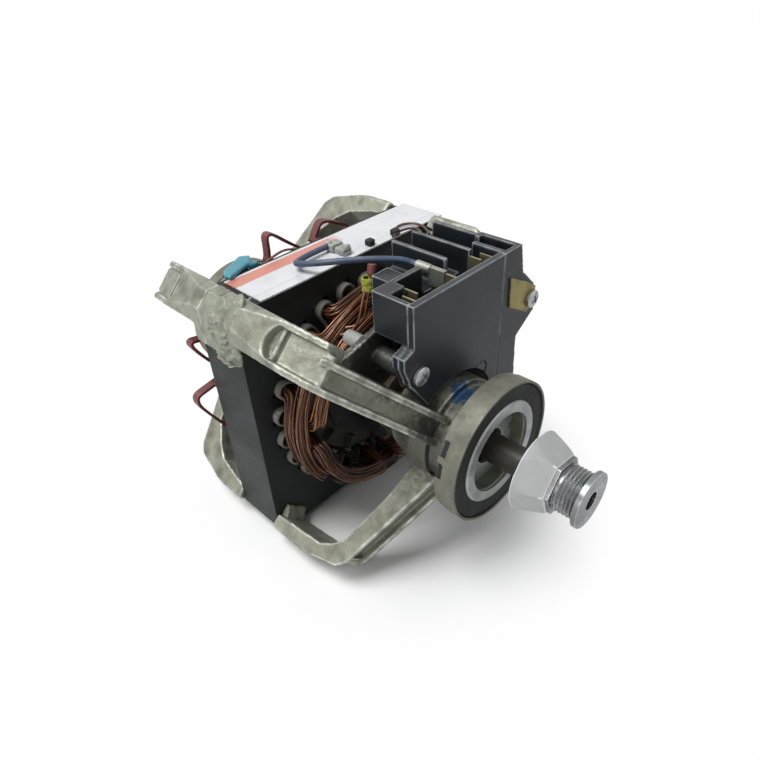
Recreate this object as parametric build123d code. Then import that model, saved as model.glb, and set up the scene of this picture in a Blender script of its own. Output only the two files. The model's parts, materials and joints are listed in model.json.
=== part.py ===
from build123d import *
from math import cos, sin, tan, radians, degrees, sqrt, pi
import os

# Open-frame split-phase dryer motor, in millimetres.
# The shaft lies along X with the belt pulley towards +X, +Z is up, and the origin is the
# centre of the front mounting ring on the shaft axis. Two cast spiders hold a square
# laminated stator between them, each ends in a rubber-mounted ring, and a centrifugal
# switch block with open terminals hangs on the front spider.

# Mounting rings
ring_r = 31.75
ring_width = 10.0
ring_wall = 1.0
ring_step = 0.55
ring_step_width = 3.0
ring_notch_width = 7.0
ring_notch_length = 3.4
ring_span = 170.0
rubber_inner_r = 23.1
rubber_recess = 0.6
core_wall = 2.0
core_lip_r = 18.1
core_lip = 1.1

# Stator stack
stack_front = -77.0
stack_length = 27.5
stack_half = 61.8
corner_cut = 4.806
corner_r = (2 * stack_half - corner_cut) / sqrt(2)
bore_r = 38.6
slot_count = 24
slot_top_r = bore_r + 1.6
slot_bottom_r = slot_top_r + 13.6
slot_mouth = 2.6
tooth_width = 4.6
liner_wall = 0.4
liner_cuff = 3.0
liner_gap = 0.15
wedge_height = 1.2
wedge_side_gap = 0.05

# Windings: wire bundles that run through the slots and turn across each pole
wire_r = 0.7
wire_pitch = 1.9
wire_side = 1.05
main_loops = 4
start_loops = 3
main_reach = 2.0
layer_step = 2.5
coil_step = 5.4
start_reach = 13.2
turn_r = 4.6
outer_span = 37.5
inner_span = 22.5
start_span = 37.5
wire_seat_gap = 0.3
wire_end_depth = 3.0

# End frames: arms on the four diagonals, with (x, r) outlines in a plane through the shaft axis
arm_half = 8.75
rail_width = 2.6
rail_height = 4.0
foot_r = corner_r - 7.0
foot_half = stack_half + 2.7
hub_join_r = 22.0
front_root_x = -11.0
front_root_inner_x = -25.0
front_wall_x = -57.7
front_bend = (-36.0, corner_r - 5.0)
front_shoulder = (-31.5, corner_r - 9.3)
front_inner = [(-27.8, 37.6), (-33.2, 54.0), (-37.1, foot_r - 11.0), (-43.1, foot_r - 4.8), (-48.6, foot_r - 2.0)]
rear_root_x = 12.0 - ring_span
rear_root_inner_x = 24.0 - ring_span
rear_depth = ring_span + stack_front - stack_length
rear_depth_drawn = 65.5


def behind(offset):
    """Give the x of a rear arm's point, from its distance behind the stack in the arm as drawn."""
    return stack_front - stack_length - offset * rear_depth / rear_depth_drawn


rear_wall_x = behind(15.5)
rear_bend = (behind(37.8), corner_r - 6.5)
rear_shoulder = (behind(41.7), corner_r - 11.0)
rear_inner = [(behind(39.0), 40.0), (behind(37.5), 56.0), (behind(32.7), foot_r - 15.5),
              (behind(28.5), foot_r - 10.0), (behind(21.5), foot_r - 4.5), (behind(8.5), foot_r - 1.4)]
channel_start = 17.0
channel_round = 7.8
panel_margin = 3.4
panel_lift = 2.0
panel_start = 7.4
panel_length = 19.0
rib_start = 3.8
rib_width = 1.6

# Top-left corner, where both frames wrap round the stack and are bonded together
wrap_r = corner_r + 3.0
wrap_length = 12.6
wrap_joint = 0.5
wrap_down = 17.0
wrap_across = 4.4
wide_wall = (-8.0, 10.0)
narrow_slope = (-2.5, 10.0)
pad_wall = 1.6
pad_half = 6.5
pad_drop = 6.0
pad_reach = 4.5
set_back_front = -41.8
set_back_wall = 8.2
set_back_outer = [(-52.0, corner_r), (-47.0, corner_r - 4.0), (set_back_front, 62.0)]
set_back_inner = [(-50.0, 30.0), (-50.0, 58.0), (-54.0, foot_r - 8.0), (-58.0, foot_r - 1.5)]
set_back_neck_r = 24.0
set_back_neck_x = -20.0
set_back_step = 4.0

# Screw bosses for the switch block
shelf_front = -40.8
shelf_wall = 3.2
shelf_outline = [(66.0, 0.0), (60.0, 8.0), (51.0, 22.0), (40.0, 22.0), (32.0, 8.0), (32.0, 0.0)]
boss_r = 4.6

# Hubs and bearings, as depths inward from a ring's centre
nose_r = 21.1
nose_depth = 16.0
hub_r = 24.0
hub_depth = 25.0
barrel_r = 18.5
barrel_depth = 40.0
rear_barrel_depth = 30.0
pocket_r = 15.5
pocket_depth = 20.0
recess_depth = 3.4
seat_length = 7.0
seat_wall = 2.2
bearing_r = 9.5
bearing_length = 15.0
running_gap = 0.05
fixed_gap = 0.02
passage_r = 8.6
cap_wall = 0.9
cap_r = 17.9
cap_hole_r = 8.2
cap_lip = 1.4
cap_notch_count = 6
cap_notch = 3.2
felt_gap = 0.3
felt_start = 5.5
washer_wall = 1.0
washer_r = 10.2
body_gap = 0.3

# Shaft, rotor and pulley
shaft_r = 6.35
shaft_rear_end = -214.0
thread_r = 5.9
thread_start = -190.0
thread_flat = 4.7
thread_flat_length = 9.0
air_gap = 0.4
end_ring_inner_r = 22.0
end_ring_outer_r = 36.4
end_ring_length = 4.0
blade_count = 12
blade_inner_r = 29.0
blade_length = 3.2
blade_wall = 2.2
cover_back = 20.0
cover_front = 32.0
cover_back_r = 17.3
cover_back_flat = 17.0
cover_front_flat = 11.0
cover_corner_r = 12.9
cover_turn = -8.0
cover_hollow_r = 12.0
cover_hollow = 4.0
hex_flat = 10.6
hex_length = 1.6
neck_r = 9.2
groove_start = 35.0
groove_count = 5
groove_pitch = 1.6
groove_depth = 1.0
groove_r = 10.0
flange_r = 11.8
flange_length = 2.1
pulley_socket = 35.8
end_hole_r = 3.9

# Centrifugal mechanism
plate_x = -70.0
plate_wall = 2.0
plate_r = 27.0
plate_boss_r = 9.6
plate_boss = 1.0
collar_front = -49.0
collar_length = 13.0
collar_sleeve_r = 9.4
collar_flange_r = 16.0
collar_flange = 3.0
collar_rear_r = 12.4
collar_rear_flange = 3.0
collar_pocket_r = 10.6
collar_pocket = 2.6
collar_travel = 3.0
weight_pivot_x = -57.0
weight_pivot_r = 18.5
weight_pin_r = 1.2
weight_hub_r = 3.0
weight_half = 6.0
weight_in_r = 20.0
weight_out_r = 26.0
weight_back = -68.4
finger_tip_r = 10.8
finger_wall = 2.0
ear_wall = 1.4
ear_reach = 2.8
spring_wire_r = 0.45
spring_coil_r = 9.0
spring_turns = 3

# Switch block
switch_front = -20.0
cover_wall = 3.0
switch_back = -40.5
switch_top = 69.5
switch_left = -24.5
switch_right = 42.0
cover_right = 30.0
cover_seam = 0.2
switch_wall = 2.2
well_floor = 46.0
left_block_x = -33.2
left_block_y = -14.2
rear_bay_back = -64.8
rear_bay_floor = 58.0
rear_bay_wall = 2.0
rear_bay_left = 1.5
partitions = [11.8, 24.4, 38.3]
partition_fronts = [-35.6, -33.5]
partition_low = 50.0
partition_wall = 2.0
right_well_y = 31.0
rear_block_back = -53.0
rear_block_top = 66.5
rear_block_left = -12.0
rear_block_right = -3.0
switch_lower = [(45.5, 52.3), (43.6, 23.4), (44.8, 2.6), (44.5, -2.0), (28.0, -2.0), (15.0, 10.0), (-11.0, 20.0),
                (-14.0, 28.0), (-14.0, 46.0), (-24.5, 52.0)]
ear_wall_x = 6.0
ear_r = 6.0
ear_left_y = -21.7
ear_left_z = 39.2
ear_left_flange = [(-24.5, 52.0), (-30.0, 50.0), (-30.0, 45.0), (-26.5, 36.0), (-16.8, 21.6), (-10.0, 28.0), (-10.0, 52.0)]
ear_right_y = 51.1
ear_right_z = 41.1
ear_right_outline = [(41.0, 58.0), (46.0, 55.0), (54.0, 47.5), (56.8, 41.0), (56.0, 33.0), (41.5, 23.5)]
hub_window_r = 27.0
screw_r = 2.0
screw_head_r = 4.0
screw_head = 2.6
screw_depth = 14.0
screw_slot = 1.0
screw_slot_reach = 2.4
screw_gap = 0.05
cover_ring_r = 4.6
cover_ring_wall = 1.1
cover_ring_depth = 0.8
cover_ring_y = 17.2
cover_ring_z = 20.5
terminal_wide = 6.3
terminal_thick = 0.8
terminal_top = 67.5
terminal_places = [(-31.5, -12.9), (-28.4, -17.6), (-27.2, 5.8), (-30.0, 23.7), (-28.0, 28.6), (-27.4, 34.2)]
lead_tab = (-34.5, 5.9)
contact_wall = 0.6
contact_half = 3.5
contact_x = [-34.5, -29.5]
contact_drop = 4.0
contact_cavity = (-8.0, 9.0, 30.0, 44.0)
window_half = 6.0
window_low = 37.0
window_high = 48.0
clip_wall = 0.9
clip_outline = [(34.5, 57.5), (46.7, 51.0), (54.3, 46.2), (55.0, 37.6), (48.5, 35.4), (35.0, 43.5)]

# Switch lever
lever_pivot_x = -45.0
lever_pivot_z = 32.0
lever_pin_r = 1.25
lever_hub_r = 2.9
lever_nose_r = 1.6
lever_nose_z = 11.5
lever_half = 3.4
lever_top_z = 43.0
lever_wall = 3.0
lever_nose_half = 1.1
lever_tip = 2.2
lever_ear_wall = 1.6
lever_ear_r = 2.9

# Label, leads and small parts
label_wall = 0.8
label_left = -48.4
label_right = 60.0
label_back = -102.0
lead_clip_outline = [(-107.0, -45.0), (-103.0, -47.0), (-100.0, -46.0), (-105.6, -32.0), (-111.0, -28.5), (-114.0, -32.0)]
lead_clip_wall = 2.0
lead_clip_leg = 5.0
loop_x = -113.0
loop_width = 4.0
loop_wall = 1.6
loop_foot = 3.0
red_loops = [[(-18.0, 58.5), (-18.0, 72.0), (-1.0, 58.5)], [(9.0, 58.5), (14.0, 66.0), (31.0, 57.0)],
             [(-57.0, 35.0), (-65.0, 38.0), (-58.0, 24.0)], [(-58.5, 11.0), (-70.0, 9.0), (-58.5, -13.0)]]
lead_r = 1.3
blue_front = [(-42.0, 5.9, 66.8), (-46.2, 5.4, 67.2), (-50.0, 2.6, 68.6)]
blue_over_stack = [(-55.4, -2.6, 7.5), (-62.1, -9.1, 7.7), (-70.7, -17.5, 7.2), (-80.7, -22.4, 5.2),
                   (-86.9, -23.4, 3.7), (-89.2, -16.6, 3.2), (-89.5, -9.6, 3.4), (-89.6, -2.0, 3.2)]
blue_route = blue_front + [(x, y, stack_half + z) for x, y, z in blue_over_stack]
thin_lead_r = 0.6
thin_over_stack = [[(-79.3, 27.7, 1.5), (-83.8, 34.5, 1.6), (-80.7, 41.3, 2.0), (-72.0, 41.9, 2.4)],
                   [(-75.9, 24.7, 2.0), (-78.0, 30.2, 2.2), (-75.2, 36.6, 2.7), (-69.3, 35.3, 3.2)]]
thin_ends = [(-65.2, 37.0, 63.6), (-65.2, 32.0, 65.0)]
thin_routes = [[(x, y, stack_half + z) for x, y, z in route] + [end] for route, end in zip(thin_over_stack, thin_ends)]
copper_lead_r = 0.6
copper_routes = [[(-57.6, -8.6, 63.0), (-56.6, -12.4, 59.0), (-55.9, -15.5, 54.6), (-55.4, -17.9, 48.6)],
                 [(-57.6, -6.8, 62.6), (-56.4, -10.4, 58.0), (-55.6, -13.4, 53.2), (-55.1, -15.6, 47.6)]]
copper_ends = [[(-56.4, -21.5, -1.75), (-59.8, -25.0, -2.75)], [(-56.2, -19.0, -0.15), (-59.8, -22.0, -0.75)]]
hump_route = [(-109.0, -33.0, 52.0), (-109.6, -26.5, 57.2), (-110.0, -15.9, 60.4), (-110.0, -7.9, 60.6), (-109.4, 1.0, 56.5)]
hump_r = 1.0
splice = (-92.5, -79.0, -3.4, 4.0, 4.0)
lead_caps = [(-79.7, 13.8), (-78.4, 28.6)]
lead_cap_size = 3.6
lead_cap_height = 2.9
lead_bend_share = 0.45
barrel_front = -38.0
barrel_back = -45.0
crimp_r = 1.95
receptacle_wall = 0.7
receptacle_low = 60.5
receptacle_high = 68.2
sleeve_ends = [(-57.6, -7.7, 63.8), (-58.3, -6.2, 67.7)]
sleeve_r = 1.9
tie_centre = (-57.0, -9.6, 60.6)
tie_r = 2.6
tie_wall = 0.9
tie_length = 3.0
splice_cap_y = -28.0
splice_cap_z = 47.0
splice_cap_r = 3.0
splice_cap_length = 8.0

stack_rear = stack_front - stack_length
slot_step = 360.0 / slot_count
TOP_LEFT, BOTTOM_LEFT, BOTTOM_RIGHT, TOP_RIGHT = 135.0, 225.0, 315.0, 45.0
X_DIR = Vector(1, 0, 0)

os.makedirs("parts", exist_ok=True)


def radial(angle):
    """Unit vector pointing out from the shaft at an angle from +Y towards +Z."""
    return Vector(0, cos(radians(angle)), sin(radians(angle)))


def across(angle):
    """Unit vector square to the shaft and to radial(angle)."""
    return Vector(0, -sin(radians(angle)), cos(radians(angle)))


def polar(x, r, angle):
    """Point at a place along the shaft, a radius and an angle."""
    return Vector(x, 0, 0) + radial(angle) * r


def bar(x0, x1, r):
    """Round bar on the shaft axis between two places."""
    return Pos((x0 + x1) / 2, 0, 0) * Rot(0, 90, 0) * Cylinder(r, abs(x1 - x0))


def tube(x0, x1, outer, inner):
    """Round sleeve on the shaft axis."""
    return bar(x0, x1, outer) - bar(x0, x1, inner)


def turned(points):
    """Solid of revolution about the shaft from (x, r) points."""
    return revolve(make_face(Polyline(*points, close=True)), Axis.X, 360)


def slab(points, x0, x1):
    """Plate with a (y, z) outline between two places along the shaft."""
    face = make_face(Plane.YZ.offset(min(x0, x1)) * Polyline(*points, close=True))
    return extrude(face, abs(x1 - x0), dir=(1, 0, 0))


def block(x0, x1, y0, y1, z0, z1):
    """Box between two corners."""
    return Pos((x0 + x1) / 2, (y0 + y1) / 2, (z0 + z1) / 2) * Box(abs(x1 - x0), abs(y1 - y0), abs(z1 - z0))


def arm_slab(points, angle, w0, w1):
    """Plate with an (x, r) outline in a plane through the shaft, between two distances across it."""
    side = across(angle)
    plane = Plane(origin=side * w0, x_dir=(1, 0, 0), z_dir=side)
    return extrude(make_face(plane * Polyline(*points, close=True)), w1 - w0, dir=side)


def cross_pin(x, r, angle, radius, w0, w1):
    """Round pin square to a plane through the shaft."""
    side = across(angle)
    base = polar(x, r, angle) + side * w0
    return extrude(Plane(origin=base, x_dir=(1, 0, 0), z_dir=side) * Circle(radius), w1 - w0, dir=side)


def x_pin(y, z, radius, x0, x1):
    """Round pin along X away from the shaft axis."""
    return Pos((x0 + x1) / 2, y, z) * Rot(0, 90, 0) * Cylinder(radius, abs(x1 - x0))


def save(name, *solids):
    """Write one node, as a group where it has several solids."""
    pieces = []
    for solid in solids:
        pieces.extend(solid.solids())
    shape = pieces[0] if len(pieces) == 1 else Compound(children=pieces)
    shape.label = name
    export_step(shape, f"parts/{name}.step")


# Wire paths: straight runs joined by arcs that share their tangents
def quarter(start, along, towards, radius):
    """Quarter turn from one direction into another one square to it."""
    middle = start + along * (radius * sin(pi / 4)) + towards * (radius * (1 - cos(pi / 4)))
    return ThreePointArc(start, middle, start + along * radius + towards * radius)


def biarc(start, along, end, leaving):
    """Two arcs that share a tangent and join two points with given directions."""
    chord, both = end - start, along + leaving
    square = 2 * (along.dot(leaving) - 1)
    if abs(square) < 1e-9:
        reach = chord.dot(chord) / (2 * chord.dot(both))
    else:
        reach = (2 * chord.dot(both) - sqrt(4 * chord.dot(both) ** 2 - 4 * square * chord.dot(chord))) / (2 * square)
    first, second = start + along * abs(reach), end - leaving * abs(reach)
    middle, through = (first + second) / 2, (second - first).normalized()
    return [Edge.make_tangent_arc(start, along, middle), Edge.make_tangent_arc(middle, through, end)]


def end_turn(x, r, pole, span, side, outward):
    """Turn over one pole: quarter turn, arc across the pole, quarter turn back."""
    first, last = pole - side * span, pole + side * span
    lean_in = across(first) * side
    lean_out = across(last) * side
    a0 = polar(x, r, first)
    a1 = a0 + outward * turn_r + lean_in * turn_r
    b1 = polar(x, r, last) + outward * turn_r - lean_out * turn_r
    apex = polar(x, r + turn_r * tan(radians(span / 2)), pole) + outward * turn_r
    return [quarter(a0, outward, lean_in, turn_r), ThreePointArc(a1, apex, b1),
            quarter(polar(x, r, last), outward, -lean_out, turn_r)]


def coil_path(pole, span, radii, reach):
    """Edges of one unbroken winding layer whose loops step outwards in their slots."""
    front, rear = stack_front + reach, stack_rear - reach
    path = []
    for count, r in enumerate(radii):
        leg_front = polar(stack_front, r, pole - span)
        if count:
            leg_rear = polar(stack_rear, radii[count - 1], pole - span)
            path.append(Line(polar(rear, radii[count - 1], pole - span), leg_rear))
            path.extend(biarc(leg_rear, X_DIR, leg_front, X_DIR))
            path.append(Line(leg_front, polar(front, r, pole - span)))
        else:
            path.append(Line(leg_front - X_DIR * wire_end_depth, polar(front, r, pole - span)))
        path.extend(end_turn(front, r, pole, span, 1, X_DIR))
        if r == radii[-1]:
            path.append(Line(polar(front, r, pole + span), polar(stack_rear + wire_end_depth, r, pole + span)))
        else:
            path.append(Line(polar(front, r, pole + span), polar(rear, r, pole + span)))
            path.extend(end_turn(rear, r, pole, span, -1, -X_DIR))
    return path


def sample(path, step=1.6):
    """Points along a path with their distance from its start."""
    points, travelled, here = [], 0.0, path[0] @ 0
    for edge in path:
        flip = (edge @ 0 - here).length > (edge @ 1 - here).length
        count = max(2, int(edge.length / step))
        for k in range(count):
            share = k / count
            points.append((edge @ (1 - share if flip else share), travelled + edge.length * share))
        travelled += edge.length
        here = edge @ 0 if flip else edge @ 1
    return points


def least_gap(path, radius):
    """Smallest clear distance between stretches of one wire that lie apart along it."""
    points = sample(path)
    best = 1e9
    for i, (p, s) in enumerate(points):
        for q, t in points[i + 1:]:
            if t - s > 8 * radius:
                best = min(best, (p - q).length)
    return best - 2 * radius


def wire_solid(path, radius):
    """Unbroken round tube along a path."""
    wire = Wire([e for piece in path for e in piece.edges()])
    start = wire @ 0
    return sweep(Plane(origin=start, z_dir=wire % 0) * Circle(radius), path=wire)


# Rings: steel band, rubber and steel core
def ring_parts(centre, inward):
    """Band, rubber and core of one resilient ring; inward is -1 at the front, +1 at the rear."""
    def x(depth):
        return centre + inward * depth
    half = ring_width / 2
    band = tube(x(-half), x(half), ring_r, ring_r - ring_wall)
    band -= tube(x(half - ring_step_width), x(half), ring_r + 1, ring_r - ring_step)
    for angle in (150, 168, 330, 348):
        notch = block(x(half - ring_notch_length), x(half), ring_r - 2, ring_r + 2,
                      -ring_notch_width / 2, ring_notch_width / 2)
        band -= Rot(angle, 0, 0) * notch
    rubber = turned([(x(-half + rubber_recess), rubber_inner_r), (x(-half + rubber_recess), ring_r - ring_wall - 1.2),
                     (x(-half + rubber_recess + 0.8), ring_r - ring_wall), (x(half - rubber_recess), ring_r - ring_wall),
                     (x(half - rubber_recess), rubber_inner_r)])
    core = turned([(x(-half), core_lip_r), (x(-half), rubber_inner_r - 0.7), (x(-half + 0.7), rubber_inner_r),
                   (x(half), rubber_inner_r), (x(half), rubber_inner_r - core_wall),
                   (x(-half + core_lip), rubber_inner_r - core_wall), (x(-half + core_lip), core_lip_r)])
    return band, rubber, core


def hub(centre, inward, depth):
    """Cast hub of one end frame: nose for the ring, bearing pocket and passage for the shaft."""
    def x(d):
        return centre + inward * d
    nose_face = -ring_width / 2 + core_lip
    body = turned([(x(nose_face), 0), (x(nose_face), nose_r), (x(nose_depth), nose_r), (x(nose_depth), hub_r),
                   (x(hub_depth), hub_r), (x(depth), barrel_r), (x(depth), 0)])
    body -= bar(x(nose_face), x(recess_depth), core_lip_r)
    body -= bar(x(recess_depth), x(pocket_depth), pocket_r)
    body -= bar(x(pocket_depth), x(depth), passage_r)
    seat = tube(x(pocket_depth - seat_length), x(pocket_depth), bearing_r + seat_wall, bearing_r + fixed_gap)
    return body + seat


# Arms of the end frames
def front_arm(angle, outer_r, wall_w, slope_w):
    """Arm of the front frame, wide beside the windings and then sloping to the hub."""
    outline = [(stack_front, outer_r), (front_wall_x, corner_r), front_bend, front_shoulder,
               (front_root_x, hub_join_r), (front_root_inner_x, hub_join_r)]
    return arm_pieces(outline, front_inner, angle, wall_w, slope_w, 1)


def set_back_arm(angle):
    """Plain arm behind the switch block, reaching the hub through a low neck."""
    outline = [(stack_front, corner_r)] + set_back_outer
    outline += [(set_back_front, set_back_neck_r), (set_back_neck_x - set_back_step, set_back_neck_r), (set_back_neck_x, hub_join_r),
                (set_back_neck_x, barrel_r - 1), (-barrel_depth, barrel_r - 1)]
    outline += set_back_inner + [(stack_front, foot_r)]
    return arm_slab(outline, angle, -arm_half, arm_half)


def rear_arm(angle, outer_r, wall_w):
    """Arm of the rear frame."""
    outline = [(stack_rear, outer_r), (rear_wall_x, corner_r), rear_bend, rear_shoulder,
               (rear_root_x, hub_join_r), (rear_root_inner_x, hub_join_r)]
    return arm_pieces(outline, rear_inner, angle, wall_w, wall_w, -1)


def arm_pieces(outline, inner, angle, wall_w, slope_w, way):
    """Cast arm open outwards between two rails, with a solid foot, a cross rib and a raised panel."""
    start, wall, bend, shoulder, root, root_inner = outline
    arm = arm_slab(outline + inner + [(start[0], foot_r)], angle, *slope_w)
    arm += arm_slab([start, wall, bend, (bend[0], inner[-2][1] - rail_height), inner[-1], (start[0], foot_r)],
                    angle, *wall_w)
    above, foot = wrap_r + 1, start[0] + way * channel_start
    floor_bend = (bend[0] - way * rail_height / 4, bend[1] - rail_height)
    floor_wall = (max(way * foot, way * wall[0]) * way, corner_r - rail_height)
    square = foot + way * channel_round / 2
    wall_cut = arm_slab([(square, above), (square, floor_wall[1]), floor_wall, floor_bend, (bend[0], floor_bend[1]),
                         (bend[0], above)], angle, wall_w[0] + rail_width, wall_w[1] - rail_width)
    slope_cut = arm_slab([(bend[0], above), floor_bend, (shoulder[0] - way * rail_height, shoulder[1] - rail_height / 2),
                          (root[0] - way * rail_height, root[1]), (root[0] + way * rail_height, root[1]),
                          (root[0] + way * rail_height, above)], angle,
                         slope_w[0] + rail_width, slope_w[1] - rail_width)
    middle = across(angle) * ((wall_w[0] + wall_w[1]) / 2)
    disc = Plane(origin=polar(foot + way * channel_round, floor_wall[1], angle) + middle, x_dir=(1, 0, 0),
                 z_dir=radial(angle)) * Circle(channel_round)
    round_cut = extrude(disc, above - floor_wall[1], dir=radial(angle))
    round_cut &= arm_slab([(foot - way, foot_r), (foot - way, above), (square + way, above), (square + way, foot_r)],
                          angle, wall_w[0] + rail_width, wall_w[1] - rail_width)
    arm -= wall_cut + slope_cut + round_cut
    return arm + panel(foot, floor_wall, floor_bend, angle, wall_w, way)


def panel(foot, floor_wall, floor_bend, angle, wall_w, way):
    """Cross rib and raised panel on the floor of an arm's channel."""
    def floor(x):
        share = (x - floor_wall[0]) / (floor_bend[0] - floor_wall[0])
        return floor_wall[1] + max(0.0, share) * (floor_bend[1] - floor_wall[1])
    rib0, rib1 = foot + way * rib_start, foot + way * (rib_start + rib_width)
    p0, p1 = foot + way * panel_start, foot + way * (panel_start + panel_length)
    sink = 0.5
    rib = arm_slab([(rib0, floor(rib0) - sink), (rib0, floor(rib0) + panel_lift), (rib1, floor(rib1) + panel_lift),
                    (rib1, floor(rib1) - sink)], angle, wall_w[0] + rail_width / 2, wall_w[1] - rail_width / 2)
    plate = arm_slab([(p0, floor(p0) - sink), (p0, floor(p0) + panel_lift), (p1, floor(p1) + panel_lift),
                      (p1, floor(p1) - sink)], angle, wall_w[0] + panel_margin, wall_w[1] - panel_margin)
    return rib + plate


def wrap(x0, x1):
    """Skin of a frame foot round the stack's top-left corner."""
    flat = corner_r * sqrt(2) - stack_half
    outline = [(-stack_half, flat - wrap_down), (-foot_half, flat - wrap_down + 2), (-foot_half, foot_half),
               (-flat + wrap_across, foot_half), (-flat + wrap_across, stack_half), (-flat, stack_half),
               (-stack_half, flat)]
    limit = arm_slab([(x0, 0), (x0, wrap_r), (x1, wrap_r), (x1, 0)], TOP_LEFT, -2 * foot_half, 2 * foot_half)
    return slab(outline, x0, x1) & limit


# Stator
def slot_half(r, inset):
    """Half width of a slot at a radius, drawn in by inset."""
    return r * tan(radians(slot_step / 2)) - tooth_width / 2 / cos(radians(slot_step / 2)) - inset


def slot_points(top, bottom, inset):
    """(y, z) outline of a slot on the +Y side."""
    return [(top, -slot_half(top, inset)), (bottom, -slot_half(bottom, inset)),
            (bottom, slot_half(bottom, inset)), (top, slot_half(top, inset))]


slot_angles = [slot_step * (k + 0.5) for k in range(slot_count)]
flat = corner_r * sqrt(2) - stack_half
corners = [(stack_half, flat), (flat, stack_half)]
octagon = corners + [(-z, y) for y, z in corners] + [(-y, -z) for y, z in corners] + [(z, -y) for y, z in corners]
lamination = make_face(Polyline(*octagon, close=True)) - Circle(bore_r)
slot_face = make_face(Polyline(*slot_points(slot_top_r, slot_bottom_r, 0), close=True))
slot_face += Pos((bore_r + slot_top_r) / 2 - 0.5, 0) * Rectangle(slot_top_r - bore_r + 1.2, slot_mouth)
for angle in slot_angles:
    lamination -= Rot(0, 0, angle) * slot_face
stator_core = extrude(Plane.YZ.offset(stack_rear) * lamination, stack_length, dir=(1, 0, 0))
save("stator_core", stator_core)

cuff_rear, cuff_front = stack_rear - liner_cuff, stack_front + liner_cuff
outer_liner = slot_points(slot_top_r + liner_gap, slot_bottom_r - liner_gap, liner_gap)
inner_liner = slot_points(slot_top_r - liner_wall, slot_bottom_r - liner_gap - liner_wall, liner_gap + liner_wall)
liner = slab(outer_liner, cuff_rear, cuff_front) - slab(inner_liner, cuff_rear - 1, cuff_front + 1)
save("slot_liners", *[Rot(angle, 0, 0) * liner for angle in slot_angles])

wedge_half = slot_mouth / 2 - wedge_side_gap
wedge_top = slot_top_r - liner_gap
wedge = block(cuff_rear, cuff_front, wedge_top - wedge_height, wedge_top, -wedge_half, wedge_half)
save("slot_wedges", *[Rot(angle, 0, 0) * wedge for angle in slot_angles])

# Windings
seat_r = slot_bottom_r - liner_gap - liner_wall - wire_seat_gap - wire_r
main_radii = [seat_r - wire_pitch * k for k in reversed(range(main_loops))]
start_seat_r = wedge_top + wire_seat_gap + wire_r
start_radii = [start_seat_r + wire_pitch * k for k in range(start_loops)]


def winding(pole, spans, radii, reach):
    """Layers of one pole's winding, side by side in each slot."""
    layers = []
    for group, span in enumerate(spans):
        for layer in (0, 1):
            lean = degrees(wire_side / radii[-1]) * (2 * layer - 1)
            path = coil_path(pole, span + lean, radii, reach + group * coil_step + layer * layer_step)
            layers.append(path)
    gaps = [least_gap(path, wire_r) for path in layers]
    return [wire_solid(path, wire_r) for path in layers], min(gaps)


for number, pole in enumerate((90, 180, 270, 0), start=1):
    solids, gap = winding(pole, (inner_span, outer_span), main_radii, main_reach)
    print(f"main winding {number}: least gap to itself {gap:.2f} mm")
    save(f"main_coil_{number}", *solids)
for number, pole in enumerate((135, 225, 315, 45), start=1):
    solids, gap = winding(pole, (start_span,), start_radii, start_reach)
    print(f"start winding {number}: least gap to itself {gap:.2f} mm")
    save(f"start_coil_{number}", *solids)

# End frames
square_limit = block(shaft_rear_end, flange_r, -foot_half, foot_half, -foot_half, foot_half)
even = (-arm_half, arm_half)
front_frame = hub(0, -1, barrel_depth) + set_back_arm(TOP_RIGHT)
front_frame += front_arm(TOP_LEFT, wrap_r, wide_wall, narrow_slope)
front_frame += front_arm(BOTTOM_LEFT, corner_r, even, even) + front_arm(BOTTOM_RIGHT, corner_r, even, even)
front_frame += wrap(stack_front - wrap_length, stack_front)
shelf = [polar(0, r, TOP_LEFT) - across(TOP_LEFT) * w for r, w in shelf_outline]
front_frame += slab([(p.Y, p.Z) for p in shelf], shelf_front - shelf_wall, shelf_front)
ear_back = switch_front - ear_wall_x
web_low, web_high = shelf_outline[-1][0], shelf_outline[0][0]
front_frame += arm_slab([(shelf_front - shelf_wall, web_low), (shelf_front - shelf_wall, web_high),
                         (front_inner[2][0] + 1, web_high), (front_inner[0][0] + 2, web_low)], TOP_LEFT,
                        narrow_slope[0], narrow_slope[0] + rail_width)
front_frame += x_pin(ear_left_y, ear_left_z, boss_r, shelf_front - shelf_wall, ear_back)
front_frame += x_pin(ear_right_y, ear_right_z, boss_r, set_back_front - set_back_wall / 2, ear_back)
front_frame &= square_limit
screw_end = switch_front - screw_depth
for y, z in ((ear_left_y, ear_left_z), (ear_right_y, ear_right_z)):
    front_frame -= x_pin(y, z, screw_r + fixed_gap, screw_end - 1, switch_front)
save("front_end_frame", front_frame)

rear_frame = hub(-ring_span, 1, rear_barrel_depth) + rear_arm(TOP_LEFT, wrap_r, wide_wall)
for angle in (BOTTOM_LEFT, BOTTOM_RIGHT, TOP_RIGHT):
    rear_frame += rear_arm(angle, corner_r, even)
rear_frame += wrap(stack_rear, stack_rear + wrap_joint + wrap_length / 2)
rear_frame &= square_limit
save("rear_end_frame", rear_frame)

pads = []
for angle in (TOP_LEFT, BOTTOM_LEFT, BOTTOM_RIGHT, TOP_RIGHT):
    for face, way in ((stack_front, 1), (stack_rear, -1)):
        outline = [(face, foot_r - pad_drop), (face, foot_r), (face + way * pad_reach, foot_r),
                   (face + way * pad_wall, foot_r - pad_drop)]
        pads.append(arm_slab(outline, angle, -pad_half, pad_half) - front_frame - rear_frame)
pads.append(wrap(stack_rear + wrap_joint + wrap_length / 2, stack_front - wrap_length))
save("bond_pads", *pads)

# Rings, bearings and what lies round the shaft
for name, centre, inward in (("front", 0, -1), ("rear", -ring_span, 1)):
    band, rubber, core = ring_parts(centre, inward)
    save(f"{name}_ring_shell", band)
    save(f"{name}_ring_rubber", rubber)
    save(f"{name}_ring_core", core)

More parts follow.
